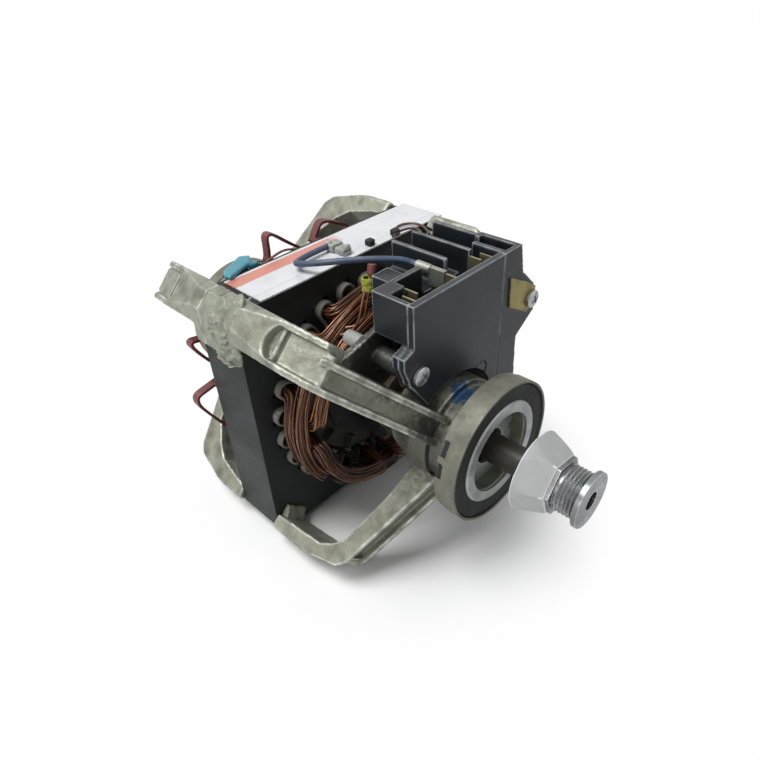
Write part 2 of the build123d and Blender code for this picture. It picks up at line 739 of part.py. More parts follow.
bearings, felts, caps = [], [], []
for centre, inward in ((0, -1), (-ring_span, 1)):
    pocket = centre + inward * pocket_depth
    bearings.append(tube(pocket - inward * bearing_length, pocket, bearing_r, shaft_r + running_gap))
    seat_end = pocket - inward * seat_length
    felts.append(tube(centre + inward * felt_start, seat_end, pocket_r - felt_gap, bearing_r + felt_gap))
    recess = centre + inward * recess_depth
    cap = tube(recess - inward * cap_wall, recess, cap_r, cap_hole_r)
    cap += tube(recess - inward * (cap_wall + cap_lip), recess, cap_hole_r + cap_wall, cap_hole_r)
    for k in range(cap_notch_count):
        cap -= Rot(360 / cap_notch_count * k, 0, 0) * block(centre, recess, pocket_r, ring_r,
                                                           -cap_notch / 2, cap_notch / 2)
    caps.append(cap)
save("bearings", *bearings)
save("oil_felts", *felts)
save("bearing_caps", *caps)

front_washer = -barrel_depth - body_gap
rear_washer = -ring_span + rear_barrel_depth + body_gap
save("thrust_washers", tube(front_washer - washer_wall, front_washer, washer_r, shaft_r + fixed_gap),
     tube(rear_washer, rear_washer + washer_wall, washer_r, shaft_r + fixed_gap))

shaft = bar(thread_start, pulley_socket, shaft_r) + bar(shaft_rear_end, thread_start, thread_r)
for side in (-1, 1):
    shaft -= block(shaft_rear_end - 1, shaft_rear_end + thread_flat_length, side * thread_flat, side * 2 * thread_r,
                   -2 * thread_r, 2 * thread_r)
save("shaft", shaft)

rotor_r = bore_r - air_gap
save("rotor_core", tube(stack_rear, stack_front, rotor_r, shaft_r + fixed_gap))
end_rings = []
for face, way in ((stack_front, 1), (stack_rear, -1)):
    rim = face + way * end_ring_length
    ring = tube(min(face, rim), max(face, rim), end_ring_outer_r, end_ring_inner_r)
    for k in range(blade_count):
        ring += Rot(360 / blade_count * k, 0, 0) * block(rim - way, rim + way * blade_length, blade_inner_r,
                                                        end_ring_outer_r - 1, -blade_wall / 2, blade_wall / 2)
    end_rings.append(ring)
save("rotor_end_rings", *end_rings)

pulley_end = groove_start + groove_count * groove_pitch + flange_length
profile = [(cover_front, 0), (cover_front, neck_r), (groove_start, neck_r), (groove_start, groove_r)]
for k in range(groove_count):
    at = groove_start + groove_pitch * (k + 0.5)
    profile += [(at, groove_r - groove_depth), (at + groove_pitch / 2, groove_r)]
groove_end = groove_start + groove_count * groove_pitch
profile += [(groove_end, flange_r), (pulley_end, flange_r), (pulley_end, 0)]
pulley = turned(profile)
hexagon = Plane.YZ.offset(cover_front) * Rot(0, 0, cover_turn) * RegularPolygon(hex_flat, 6, major_radius=False)
pulley += extrude(hexagon, hex_length, dir=(1, 0, 0))
pulley -= bar(cover_front - 1, pulley_socket, shaft_r + fixed_gap)
pulley -= bar(pulley_socket - 1, pulley_end + 1, end_hole_r)
save("pulley", pulley)

cone = turned([(cover_back, 0), (cover_back, cover_back_r), (cover_front, cover_corner_r), (cover_front, 0)])
hex_back = Plane.YZ.offset(cover_back) * Rot(0, 0, cover_turn) * RegularPolygon(cover_back_flat, 6, major_radius=False)
hex_front = Plane.YZ.offset(cover_front) * Rot(0, 0, cover_turn) * RegularPolygon(cover_front_flat, 6,
                                                                               major_radius=False)
hub_cover = cone & loft([hex_back, hex_front])
hub_cover -= bar(cover_back - 1, cover_front + 1, shaft_r + fixed_gap)
hub_cover -= tube(cover_back - 1, cover_back + cover_hollow, cover_hollow_r, shaft_r + cap_wall)
save("hub_cover", hub_cover)

# Centrifugal governor
hub_of_plate = tube(plate_x - plate_wall, plate_x + plate_boss, plate_boss_r - 2, shaft_r + fixed_gap)
plate = tube(plate_x - plate_wall, plate_x, plate_r, shaft_r + fixed_gap) + hub_of_plate
weight_angles = (90, 270)
for angle in weight_angles:
    for side in (-1, 1):
        near, far = weight_half + body_gap, weight_half + body_gap + ear_wall
        ear = arm_slab([(plate_x - 1, weight_pivot_r - ear_reach), (plate_x - 1, weight_pivot_r + ear_reach),
                        (weight_pivot_x + ear_reach, weight_pivot_r + ear_reach),
                        (weight_pivot_x + ear_reach, weight_pivot_r - ear_reach)], angle,
                       min(side * near, side * far), max(side * near, side * far))
        plate += ear
    plate -= cross_pin(weight_pivot_x, weight_pivot_r, angle, weight_pin_r + fixed_gap, -2 * weight_half,
                       2 * weight_half)
save("governor_plate", plate)
pin_half = weight_half + body_gap + ear_wall
save("weight_pins", *[cross_pin(weight_pivot_x, weight_pivot_r, angle, weight_pin_r, -pin_half, pin_half)
                      for angle in weight_angles])

for name, angle in zip(("governor_weight_a", "governor_weight_b"), weight_angles):
    finger_front = collar_front - collar_length + collar_rear_flange + body_gap + finger_wall
    mass = arm_slab([(weight_back, weight_in_r), (weight_back, weight_out_r), (weight_pivot_x, weight_out_r),
                     (weight_pivot_x, weight_in_r)], angle, -weight_half, weight_half)
    finger = arm_slab([(finger_front - finger_wall, finger_tip_r), (finger_front - finger_wall, weight_pivot_r),
                       (finger_front, weight_pivot_r), (finger_front, finger_tip_r)], angle, -weight_half, weight_half)
    weight = mass + finger + cross_pin(weight_pivot_x, weight_pivot_r, angle, weight_hub_r, -weight_half, weight_half)
    weight -= cross_pin(weight_pivot_x, weight_pivot_r, angle, weight_pin_r + running_gap, -2 * weight_half,
                        2 * weight_half)
    save(name, weight)

collar_rear = collar_front - collar_length
collar = tube(collar_rear, collar_front, collar_sleeve_r, shaft_r + running_gap)
collar += tube(collar_front - collar_flange, collar_front, collar_flange_r, shaft_r + running_gap)
collar += tube(collar_rear, collar_rear + collar_rear_flange, collar_rear_r, shaft_r + running_gap)
collar -= bar(collar_rear - 1, collar_rear + collar_pocket, collar_pocket_r)
save("governor_collar", collar)

spring_start = plate_x + spring_wire_r + body_gap / 2
spring_end = collar_rear + collar_pocket - collar_travel - spring_wire_r - body_gap / 2
spring_steps = 4 * spring_turns
spring_path, spring_points = [], []
for k in range(spring_steps + 1):
    angle = 90.0 * k
    spring_points.append((polar(spring_start + (spring_end - spring_start) * k / spring_steps, spring_coil_r, angle),
                          (across(angle) * (2 * pi * spring_coil_r)
                           + X_DIR * ((spring_end - spring_start) / spring_turns)).normalized()))
for (p, u), (q, v) in zip(spring_points, spring_points[1:]):
    spring_path += biarc(p, u, q, v)
print(f"governor spring: least gap to itself {least_gap(spring_path, spring_wire_r):.2f} mm")
save("governor_spring", wire_solid(spring_path, spring_wire_r))

# Switch block
inner_back = switch_back + switch_wall
cover_back_x = switch_front - cover_wall
body_outline = [(switch_left, switch_top), (switch_right, switch_top)] + switch_lower
housing = slab(body_outline, switch_back, cover_back_x)
right_front = block(cover_back_x, switch_front, cover_right + cover_seam, 2 * switch_right, -foot_half, 2 * switch_top)
housing += slab(body_outline, cover_back_x - 1, switch_front) & right_front
housing += slab(ear_right_outline, ear_back, switch_front)
housing += slab(ear_left_flange, ear_back, cover_back_x)
housing += x_pin(ear_left_y, ear_left_z, ear_r, ear_back, cover_back_x)
housing += block(rear_bay_back, switch_back + 1, rear_bay_left, switch_right, rear_bay_floor - rear_bay_wall,
                 rear_bay_floor)
housing += block(rear_block_back, switch_back + 1, rear_block_left, rear_block_right,
                 rear_bay_floor - rear_bay_wall, rear_block_top)
housing += block(rear_block_back, switch_back + 1, rear_block_right - 1, rear_bay_left + 1,
                 rear_bay_floor - rear_bay_wall, rear_bay_floor)
wells = block(left_block_x, cover_back_x + 1, switch_left + switch_wall, partitions[0], well_floor, 2 * switch_top)
wells += block(inner_back, cover_back_x + 1, left_block_y, partitions[0], well_floor, 2 * switch_top)
wells += block(inner_back, cover_back_x + 1, partitions[0] + partition_wall, partitions[1], well_floor, 2 * switch_top)
wells += block(inner_back, cover_back_x + 1, partitions[1] + partition_wall, right_well_y - cover_seam, well_floor,
               2 * switch_top)
wells += block(inner_back, switch_front - switch_wall, right_well_y + partition_wall, switch_right - switch_wall,
               well_floor, 2 * switch_top)
wells += block(switch_back - 1, inner_back + 1, rear_bay_left, partitions[2] - 1, rear_bay_floor, 2 * switch_top)
cavity_y0, cavity_y1, cavity_z0, cavity_z1 = contact_cavity
wells += block(inner_back, cover_back_x + 1, cavity_y0, cavity_y1, cavity_z0, cavity_z1)
wells += block(switch_back - 1, inner_back + 1, -window_half, window_half, window_low, window_high - 1)
housing -= wells
for y, front in zip(partitions, partition_fronts):
    housing += block(rear_bay_back, front, y, y + partition_wall, rear_bay_floor - 1, switch_top)
    housing -= block(front, cover_back_x + 1, y - fixed_gap, y + partition_wall + fixed_gap, partition_low, 2 * switch_top)
housing += block(rear_bay_back, inner_back, partitions[2], partitions[2] + partition_wall, rear_bay_floor - 1, switch_top)
lever_side = lever_half + body_gap
for side in (-1, 1):
    ear0, ear1 = side * lever_side, side * (lever_side + lever_ear_wall)
    housing += block(lever_pivot_x, switch_back + 1, ear0, ear1, lever_pivot_z - lever_ear_r, lever_pivot_z + lever_ear_r)
    housing += Pos(lever_pivot_x, (ear0 + ear1) / 2, lever_pivot_z) * Rot(90, 0, 0) * Cylinder(lever_ear_r,
                                                                                            lever_ear_wall)
housing -= bar(2 * switch_back, 1, hub_window_r)
pin_length = 2 * (lever_side + lever_ear_wall)
housing -= Pos(lever_pivot_x, 0, lever_pivot_z) * Rot(90, 0, 0) * Cylinder(lever_pin_r + fixed_gap, pin_length)
left_diagonal = arm_slab([(2 * switch_back, 0), (2 * switch_back, 2 * foot_r), (1, 2 * foot_r), (1, 0)], TOP_LEFT,
                         narrow_slope[0] - body_gap, 2 * foot_r)
housing -= left_diagonal
for y, z in ((ear_left_y, ear_left_z), (ear_right_y, ear_right_z)):
    housing -= x_pin(y, z, screw_r + screw_gap, switch_back, switch_front + 1)
save("switch_housing", housing)

cover = slab(body_outline, cover_back_x, switch_front) + slab(ear_left_flange, cover_back_x, switch_front)
cover += x_pin(ear_left_y, ear_left_z, ear_r, cover_back_x, switch_front)
cover &= block(cover_back_x, switch_front, -2 * foot_half, cover_right, -foot_half, 2 * switch_top)
cover -= bar(2 * switch_back, 1, hub_window_r) + left_diagonal
cover -= x_pin(ear_left_y, ear_left_z, screw_r + screw_gap, cover_back_x - 1, switch_front + 1)
cover -= (x_pin(cover_ring_y, cover_ring_z, cover_ring_r, switch_front - cover_ring_depth, switch_front + 1)
          - x_pin(cover_ring_y, cover_ring_z, cover_ring_r - cover_ring_wall, switch_back, switch_front + 2))
save("switch_cover", cover)


def blade(x, y, grow=0.0):
    """Upright spade terminal along the shaft's direction."""
    half_x, half_y = terminal_wide / 2 + grow, terminal_thick / 2 + grow
    return block(x - half_x, x + half_x, y - half_y, y + half_y, well_floor, terminal_top + grow)


save("switch_terminals", *[blade(x, y) for x, y in terminal_places + [lead_tab]])
save("switch_contacts", *[block(x, x + contact_wall, -contact_half, contact_half, cavity_z0 + contact_drop, cavity_z1)
                          for x in contact_x])

screws = []
for y, z in ((ear_left_y, ear_left_z), (ear_right_y, ear_right_z)):
    face = switch_front + (clip_wall if y > 0 else 0)
    screw = x_pin(y, z, screw_r, screw_end, face + 1) + x_pin(y, z, screw_head_r, face, face + screw_head)
    slots = block(face + screw_head - screw_slot, face + screw_head + 1, y - screw_slot / 2, y + screw_slot / 2,
                  z - screw_slot_reach, z + screw_slot_reach)
    screws.append(screw - slots)
save("switch_screws", *screws)
ground_clip = slab(clip_outline, switch_front, switch_front + clip_wall)
ground_clip -= x_pin(ear_right_y, ear_right_z, screw_r + screw_gap, switch_front - 1, switch_front + 2)
save("ground_clip", ground_clip)

# Switch lever, worked by the collar's front flange
def lever_pin_at(x, z, radius, half):
    """Pin across the lever, along Y."""
    return Pos(x, 0, z) * Rot(90, 0, 0) * Cylinder(radius, 2 * half)


nose_x = collar_front + body_gap + lever_nose_r
lever = extrude(Plane.XZ.offset(lever_half) * make_face(Polyline(
    (nose_x - lever_nose_half, lever_nose_z), (lever_pivot_x - lever_wall / 2, lever_pivot_z),
    (lever_pivot_x - lever_wall / 2, lever_top_z), (lever_pivot_x + lever_wall / 2 + lever_tip, lever_top_z),
    (lever_pivot_x + lever_wall / 2 + lever_tip, lever_top_z - lever_wall), (lever_pivot_x + lever_wall / 2,
    lever_top_z - lever_wall), (lever_pivot_x + lever_wall / 2, lever_pivot_z),
    (nose_x + lever_nose_half, lever_nose_z), close=True)), 2 * lever_half, dir=(0, 1, 0))
lever += lever_pin_at(nose_x, lever_nose_z, lever_nose_r, lever_half)
lever += lever_pin_at(lever_pivot_x, lever_pivot_z, lever_hub_r, lever_half)
lever -= lever_pin_at(lever_pivot_x, lever_pivot_z, lever_pin_r + running_gap, 2 * lever_half)
save("switch_lever", lever)
save("lever_pin", lever_pin_at(lever_pivot_x, lever_pivot_z, lever_pin_r, pin_length / 2))

# Label, leads and small parts
label_top = stack_half + label_wall
save("label_plate", block(label_back, stack_front, label_left, label_right, stack_half, label_top))
clip_face = make_face(Polyline(*lead_clip_outline, close=True))
lead_clip = extrude(Plane.XY.offset(label_top) * clip_face, lead_clip_wall, dir=(0, 0, 1))
leg_x, leg_y = lead_clip_outline[4]
lead_clip += block(stack_rear - lead_clip_wall, stack_rear, leg_y - lead_clip_leg, leg_y, stack_half - lead_clip_leg,
                   label_top + 1)
save("lead_clip", lead_clip)

loops = []
for outline in red_loops:
    strip = trace(Polyline(*outline, close=False), loop_wall)
    loop = extrude(Plane.YZ.offset(loop_x - loop_width / 2) * strip, loop_width, dir=(1, 0, 0))
    for y, z in (outline[0], outline[-1]):
        loop += block(loop_x - loop_width / 2, stack_rear, y - loop_foot / 2, y + loop_foot / 2, z - loop_foot / 2,
                      z + loop_foot / 2)
    loops.append(loop)
save("phase_insulators", *loops)


def lead(name, route, radius):
    """Lead with straight runs and tangent arcs through a route."""
    points = [Vector(*p) for p in route]
    radii = []
    for before, here, after in zip(points, points[1:], points[2:]):
        turn = (here - before).get_angle(after - here)
        radii.append(lead_bend_share * min((here - before).length, (after - here).length) / tan(radians(turn / 2)))
    path = FilletPolyline(*points, radius=radii)
    length = sum(edge.length for edge in path.edges())
    print(f"{name}: {length:.0f} mm long, arc radii " + ", ".join(f"{r:.1f}" for r in radii))
    wire = Wire(path.edges())
    return sweep(Plane(origin=wire @ 0, z_dir=wire % 0) * Circle(radius), path=wire)


save("blue_lead", lead("blue lead", blue_route, lead_r))
save("thin_leads", *[lead("thin lead", route, thin_lead_r) for route in thin_routes])
start_outer = start_radii[-1] + wire_r
copper = []
for route, ends in zip(copper_routes, copper_ends):
    low_points = [(x, y, start_outer + lift) for x, y, lift in ends]
    copper.append(lead("copper lead", route + low_points, copper_lead_r))
save("coil_leads", *copper, lead("rear lead", hump_route, hump_r))
sx0, sx1, sy0, sy1, s_high = splice
save("lead_splice", block(sx0, sx1, sy0, sy1, label_top, label_top + s_high))
save("lead_caps", *[block(x - lead_cap_size / 2, x + lead_cap_size / 2, y - lead_cap_size / 2, y + lead_cap_size / 2,
                          label_top, label_top + lead_cap_height) for x, y in lead_caps])
low, high = Vector(*sleeve_ends[0]), Vector(*sleeve_ends[1])
axis = (high - low).normalized()
save("lead_sleeve", extrude(Plane(origin=low, z_dir=axis) * Circle(sleeve_r), (high - low).length, dir=axis))
save("lead_tie", Pos(*tie_centre) * (Cylinder(tie_r, tie_length) - Cylinder(tie_r - tie_wall, tie_length + 1)))
tab_x, tab_y = lead_tab
half_x, half_y = terminal_wide / 2 + receptacle_wall, terminal_thick / 2 + receptacle_wall
receptacle = block(barrel_front - receptacle_wall, tab_x + half_x, tab_y - half_y, tab_y + half_y, receptacle_low,
                   receptacle_high) - blade(tab_x, tab_y, running_gap)
save("lead_terminal", receptacle + x_pin(tab_y, blue_route[0][2], crimp_r, barrel_back, barrel_front))
save("splice_cap", x_pin(splice_cap_y, splice_cap_z, splice_cap_r, shelf_front - shelf_wall - splice_cap_length,
                         shelf_front - shelf_wall))
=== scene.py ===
"""Looks of an open-frame dryer motor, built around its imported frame.

The castings, windings, switch block and small parts get their finished meshes and procedural
finishes here. Sizes in the sub-assemblies are in millimetres and degrees, in the frame's own
axes: +X along the shaft towards the belt pulley, +Z up, and the origin at the centre of the front
mounting ring. Blender works in metres, so MM turns one into the other. Places and sizes in the
shaders and finishes are in metres.
"""

import json
import logging
import math
import random
from dataclasses import dataclass, field, replace
from enum import Enum
from typing import Callable, Iterable, Sequence

import bmesh
import bpy
from mathutils import Matrix, Vector, noise

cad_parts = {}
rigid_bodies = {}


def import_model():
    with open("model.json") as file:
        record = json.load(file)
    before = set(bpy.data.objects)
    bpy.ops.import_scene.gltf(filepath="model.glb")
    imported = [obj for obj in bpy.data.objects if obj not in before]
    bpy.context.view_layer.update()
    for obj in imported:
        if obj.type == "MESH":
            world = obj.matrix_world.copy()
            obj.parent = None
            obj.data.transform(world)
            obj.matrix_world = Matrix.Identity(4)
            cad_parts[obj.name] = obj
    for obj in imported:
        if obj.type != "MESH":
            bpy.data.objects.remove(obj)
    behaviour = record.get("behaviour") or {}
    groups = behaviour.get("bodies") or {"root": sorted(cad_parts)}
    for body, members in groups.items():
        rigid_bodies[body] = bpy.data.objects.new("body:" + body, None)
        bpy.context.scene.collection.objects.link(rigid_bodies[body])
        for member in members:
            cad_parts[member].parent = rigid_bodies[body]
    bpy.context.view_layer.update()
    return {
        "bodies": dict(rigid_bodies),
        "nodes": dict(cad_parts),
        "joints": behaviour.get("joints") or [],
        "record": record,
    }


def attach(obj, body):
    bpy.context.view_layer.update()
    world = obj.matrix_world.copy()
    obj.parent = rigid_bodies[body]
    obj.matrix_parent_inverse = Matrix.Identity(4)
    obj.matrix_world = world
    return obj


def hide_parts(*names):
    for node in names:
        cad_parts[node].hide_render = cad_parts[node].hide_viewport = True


LOG = logging.getLogger("dryer_motor")
MM = 0.001
BUMP_DISTANCE = 0.4 * MM
COAT_ROUGHNESS = 0.25
# Numbers of a Mix node's colour sockets, whose names its other kinds of socket share.
MIX_FIRST, MIX_SECOND, MIX_RESULT = 6, 7, 2
ONE_COLOUR = {"Color": ("Color",)}
# Points of a solid's mesh that are nearer than this are one.
DOUBLED = 0.002 * MM
# Edges of a solid that are sharper than this are rounded and drawn sharp, in degrees.
FINE_ANGLE = 32.0
# How far one smoothing pass goes.
SOFTENING = 0.5
# Roughness, step between octaves and number of octaves.
LUMP_FRACTAL = (0.6, 2.0, 4)
# Faces of the sheet stack along the shaft.
STACK_FRONT = -77.0
STACK_REAR = -104.5

Colour = tuple[float, float, float]
Place = tuple[float, float, float]
Limits = tuple[float, float]
Route = tuple[Place, ...]
Ring = list[bmesh.types.BMVert]
Socket = bpy.types.NodeSocket
Inputs = dict[str | int, object]
SocketKinds = dict[str, tuple[str, ...]]


class Grain(Enum):
    """How a surface's fine relief is laid out."""

    CAST = "cast"
    TURNED = "turned"
    MOULDED = "moulded"
    WOVEN = "woven"
    LAMINATED = "laminated"


def rgba(colour: Colour) -> tuple[float, float, float, float]:
    """Give a colour its alpha."""
    return (*colour, 1.0)


class NodeSheet:
    """Places and joins the nodes of one shader node tree."""

    def __init__(self, tree: bpy.types.NodeTree) -> None:
        """Work on the node tree of a group, a material or the world."""
        self.tree = tree

    def feed(self, end: Socket, value: object) -> None:
        """Link a socket into an input, or set the input's own value.

        Args:
            end: The input.
            value: A socket, number, colour or vector.
        """
        if isinstance(value, Socket):
            self.tree.links.new(value, end)
        else:
            end.default_value = value

    def node(self, kind: str, inputs: Inputs | None = None, **values: object) -> bpy.types.Node:
        """Add a node, set its properties and feed its inputs.

        Args:
            kind: Node type without its ShaderNode prefix.
            inputs: A socket, number or colour for each input, by its name or number.
            values: Properties to set.

        Returns:
            The new node.
        """
        node = self.tree.nodes.new(f"ShaderNode{kind}")
        for key, value in values.items():
            setattr(node, key, value)
        for key, value in (inputs or {}).items():
            self.feed(node.inputs[key], value)
        return node

    def coordinates(self) -> Socket:
        """Give the object coordinates."""
        return self.node("TexCoord").outputs["Object"]

    def axes(self, vector: Socket) -> bpy.types.Node:
        """Split a vector into X, Y and Z."""
        return self.node("SeparateXYZ", {0: vector})

    def noise(self, scale: object, detail: float, vector: Socket | None = None) -> Socket:
        """Give the value of a noise texture.

        Args:
            scale: A socket or a number of cells per metre.
            detail: Octaves of detail.
            vector: Coordinates, or None for plain object coordinates.

        Returns:
            The noise.
        """
        inputs = {"Scale": scale, "Detail": detail, "Vector": vector or self.coordinates()}
        return self.node("TexNoise", inputs).outputs["Fac"]

    def spread(self, value: Socket, limits: Limits) -> Socket:
        """Stretch part of a value's range to 0 to 1 and clamp it.

        Args:
            value: The value.
            limits: What becomes 0, and what becomes 1.

        Returns:
            The stretched value.
        """
        inputs = {"Value": value, "From Min": limits[0], "From Max": limits[1]}
        return self.node("MapRange", inputs, clamp=True).outputs["Result"]

    def maths(self, operation: str, *values: object) -> Socket:
        """Give the result of a Math node with these sockets or numbers."""
        return self.node("Math", dict(enumerate(values)), operation=operation).outputs[0]

    def product(self, first: object, *others: object) -> Socket:
        """Multiply sockets or numbers, one after the other."""
        for value in others:
            first = self.maths("MULTIPLY", first, value)
        return first

    def mix(self, factor: Socket, first: object, second: object) -> Socket:
        """Mix two colours.

        Args:
            factor: Share of the second colour.
            first: First colour or socket.
            second: Second colour or socket.

        Returns:
            The mixed colour.
        """
        inputs = {"Factor": factor, MIX_FIRST: first, MIX_SECOND: second}
        return self.node("Mix", inputs, data_type="RGBA").outputs[MIX_RESULT]


class EffectGroup(NodeSheet):
    """One shader node group with named inputs and outputs."""

    def __init__(self, name: str, inputs: SocketKinds, outputs: SocketKinds) -> None:
        """Start a group with its sockets.

        Args:
            name: Name of the node group.
            inputs: Names of the inputs of each kind.
            outputs: Names of the outputs of each kind.
        """
        super().__init__(bpy.data.node_groups.new(name, "ShaderNodeTree"))
        for way, kinds in (("INPUT", inputs), ("OUTPUT", outputs)):
            for kind, labels in kinds.items():
                for label in labels:
                    self.tree.interface.new_socket(label, in_out=way, socket_type=f"NodeSocket{kind}")
        self.source = self.tree.nodes.new("NodeGroupInput")
        self.result = self.tree.nodes.new("NodeGroupOutput")

    def take(self, name: str) -> Socket:
        """Give one of the group's inputs."""
        return self.source.outputs[name]

    def scaled(self, factor: float) -> Socket:
        """Give the group's Scale input times a factor."""
        return self.product(self.take("Scale"), factor)

    def give(self, name: str, start: Socket) -> bpy.types.NodeTree:
        """Feed one of the group's outputs.

        Args:
            name: Name of the output.
            start: What feeds it.

        Returns:
            The group's node tree.
        """
        self.feed(self.result.inputs[name], start)
        return self.tree


@dataclass
class Effects:
    """Shader node groups that the finishes share, each built once.

    Fields that end in cells are noise cells per metre. Pairs are what becomes 0 and what becomes 1.
    """

    slow_limits: Limits = (0.35, 0.65)
    fine_limits: Limits = (0.3, 0.7)
    fine_ratio: float = 6.0
    fine_share: float = 0.35
    # Lighter edges: partly rubbed, partly painted highlight.
    worn_lit_edge: Limits = (0.508, 0.545)
    worn_lit_cells: float = 130.0
    worn_lit_breaks: Limits = (0.25, 0.6)
    facing_up: Limits = (0.2, 1.0)
    # Lighter tint on upward faces: dust, and on the black moulding painted sheen.
    dust_and_sheen_cells: float = 90.0
    dust_and_sheen_patches: Limits = (0.4, 0.68)
    # Darker hollows are painted shade; the stains are grime.
    shaded_hollows: Limits = (0.495, 0.45)
    stain_cells: float = 140.0
    stains: Limits = (0.45, 0.7)
    lump_ratio: float = 0.3
    lump_share: float = 0.8
    pit_share: float = 0.5
    ring_ratio: float = 8.0
    sheet_waver: float = 0.4
    sheet_cells: float = 900.0
    sheet_share: float = 0.5
    dab_cells: float = 450.0
    dab_ragged: float = 1.4
    dab_edge: Limits = (1.75, 1.35)
    strip_cells: float = 500.0
    strip_ragged: float = 1.2 * MM
    strip_rear: Limits = (-0.1000, -0.0996)
    strip_front: Limits = (-0.0925, -0.0929)
    strip_end: Limits = (0.012, 0.006)
    line_rear: Limits = (-0.0822, -0.0820)
    line_front: Limits = (-0.0812, -0.0814)
    built: dict[str, bpy.types.NodeTree] = field(default_factory=dict)

    def get(self, name: str) -> bpy.types.NodeTree:
        """Give a group by name, building it on first use.

        Args:
            name: mottle, wear, dust, strip, mark or one of the grains.

        Returns:
            The node group.
        """
        if name not in self.built:
            makers: dict[str, Callable[[], bpy.types.NodeTree]] = {
                "mottle": self._mottle, "wear_and_highlight": self._wear_and_highlight, "dust_and_sheen": self._dust_sheen_stains_and_shade, "strip": self._strip,
                "mark": self._mark, Grain.CAST.value: self._cast, Grain.TURNED.value: self._turned,
                Grain.MOULDED.value: self._moulded, Grain.WOVEN.value: self._woven,
                Grain.LAMINATED.value: self._laminated}
            self.built[name] = makers[name]()
        return self.built[name]

    def _mottle(self) -> bpy.types.NodeTree:
        """Build the slow change of colour and gloss over a surface.

        Returns:
            The node group.
        """
        group = EffectGroup("surface mottle", {
            "Color": ("Base", "Shade"), "Float": ("Scale", "Amount", "Gloss Low", "Gloss High")},
            {"Color": ("Color",), "Float": ("Roughness",)})
        slow = group.spread(group.noise(group.take("Scale"), detail=4.0), self.slow_limits)
        fine = group.spread(group.noise(group.scaled(self.fine_ratio), detail=3.0), self.fine_limits)
        rest = group.product(slow, 1.0 - self.fine_share)
        both = group.maths("MULTIPLY_ADD", fine, self.fine_share, rest)
        share = group.product(both, group.take("Amount"))
        group.give("Color", group.mix(share, group.take("Base"), group.take("Shade")))
        span = group.maths("SUBTRACT", group.take("Gloss High"), group.take("Gloss Low"))
        return group.give("Roughness", group.maths("MULTIPLY_ADD", both, span, group.take("Gloss Low")))

    def _wear_and_highlight(self) -> bpy.types.NodeTree:
        """Build lighter edges: partly rubbed, partly painted highlight.

        Returns:
            The node group.
        """
        group = EffectGroup("edge wear", {"Color": ("Color", "Bare And Lit"), "Float": ("Amount",)}, ONE_COLOUR)
        edge = group.spread(group.node("NewGeometry").outputs["Pointiness"], self.worn_lit_edge)
        broken = group.spread(group.noise(self.worn_lit_cells, detail=5.0), self.worn_lit_breaks)
        mask = group.product(edge, broken, group.take("Amount"))
        return group.give("Color", group.mix(mask, group.take("Color"), group.take("Bare And Lit")))

    def _dust_sheen_stains_and_shade(self) -> bpy.types.NodeTree:
        """Build a lighter tint on what faces up, of dust and painted sheen, and darker stains and hollows:
        the stains are grime, the hollows painted shade.

        Returns:
            The node group.
        """
        group = EffectGroup("dust and dirt", {
            "Color": ("Color", "Dust And Sheen", "Stains And Shade"), "Float": ("Dust Amount", "Dirt Amount")}, ONE_COLOUR)
        geometry = group.node("NewGeometry")
        up = group.spread(group.axes(geometry.outputs["Normal"]).outputs["Z"], self.facing_up)
        patch = group.spread(group.noise(self.dust_and_sheen_cells, detail=5.0), self.dust_and_sheen_patches)
        dust_and_sheen = group.product(up, patch, group.take("Dust Amount"))
        hollow_shade = group.spread(geometry.outputs["Pointiness"], self.shaded_hollows)
        stain = group.spread(group.noise(self.stain_cells, detail=4.0), self.stains)
        stains_and_shade = group.product(group.maths("MAXIMUM", hollow_shade, stain), group.take("Dirt Amount"))
        stained_and_shaded = group.mix(stains_and_shade, group.take("Color"), group.take("Stains And Shade"))
        return group.give("Color", group.mix(dust_and_sheen, stained_and_shaded, group.take("Dust And Sheen")))

    @staticmethod
    def _relief(name: str) -> EffectGroup:
        """Start a group that puts out one height, laid out by its Scale input."""
        return EffectGroup(name, {"Float": ("Scale",)}, {"Float": ("Height",)})

    def _cast(self) -> bpy.types.NodeTree:
        """Build the skin of a sand-blasted casting: coarse lumps with fine pits.

        Returns:
            The node group.
        """
        group = self._relief("cast skin")
        lumps = group.product(group.noise(group.scaled(self.lump_ratio), detail=5.0), self.lump_share)
        pits = group.noise(group.take("Scale"), detail=6.0)
        return group.give("Height", group.maths("MULTIPLY_ADD", pits, self.pit_share, lumps))

    def _turned(self) -> bpy.types.NodeTree:
        """Build fine rings from turning: noise long round the shaft and short along it.

        Returns:
            The node group.
        """
        group = self._relief("turned rings")
        split = group.axes(group.coordinates()).outputs
        square = group.maths("MULTIPLY_ADD", split["Y"], split["Y"], group.product(split["Z"], split["Z"]))
        joined = group.node("CombineXYZ", {"X": split["X"], "Y": group.maths("SQRT", square)})
        return group.give("Height", group.noise(group.scaled(self.ring_ratio), 2.0, joined.outputs[0]))

    def _moulded(self) -> bpy.types.NodeTree:
        """Build the fine even skin of a moulding."""
        group = self._relief("moulded skin")
        return group.give("Height", group.noise(group.take("Scale"), detail=3.0))

    def _woven(self) -> bpy.types.NodeTree:
        """Build a small weave of two sets of crossed waves.

        Returns:
            The node group.
        """
        group = self._relief("weave")
        waves = [group.node("TexWave", {"Vector": group.coordinates(), "Scale": group.take("Scale")},
                            bands_direction=way).outputs["Fac"] for way in ("X", "DIAGONAL")]
        return group.give("Height", group.product(*waves))

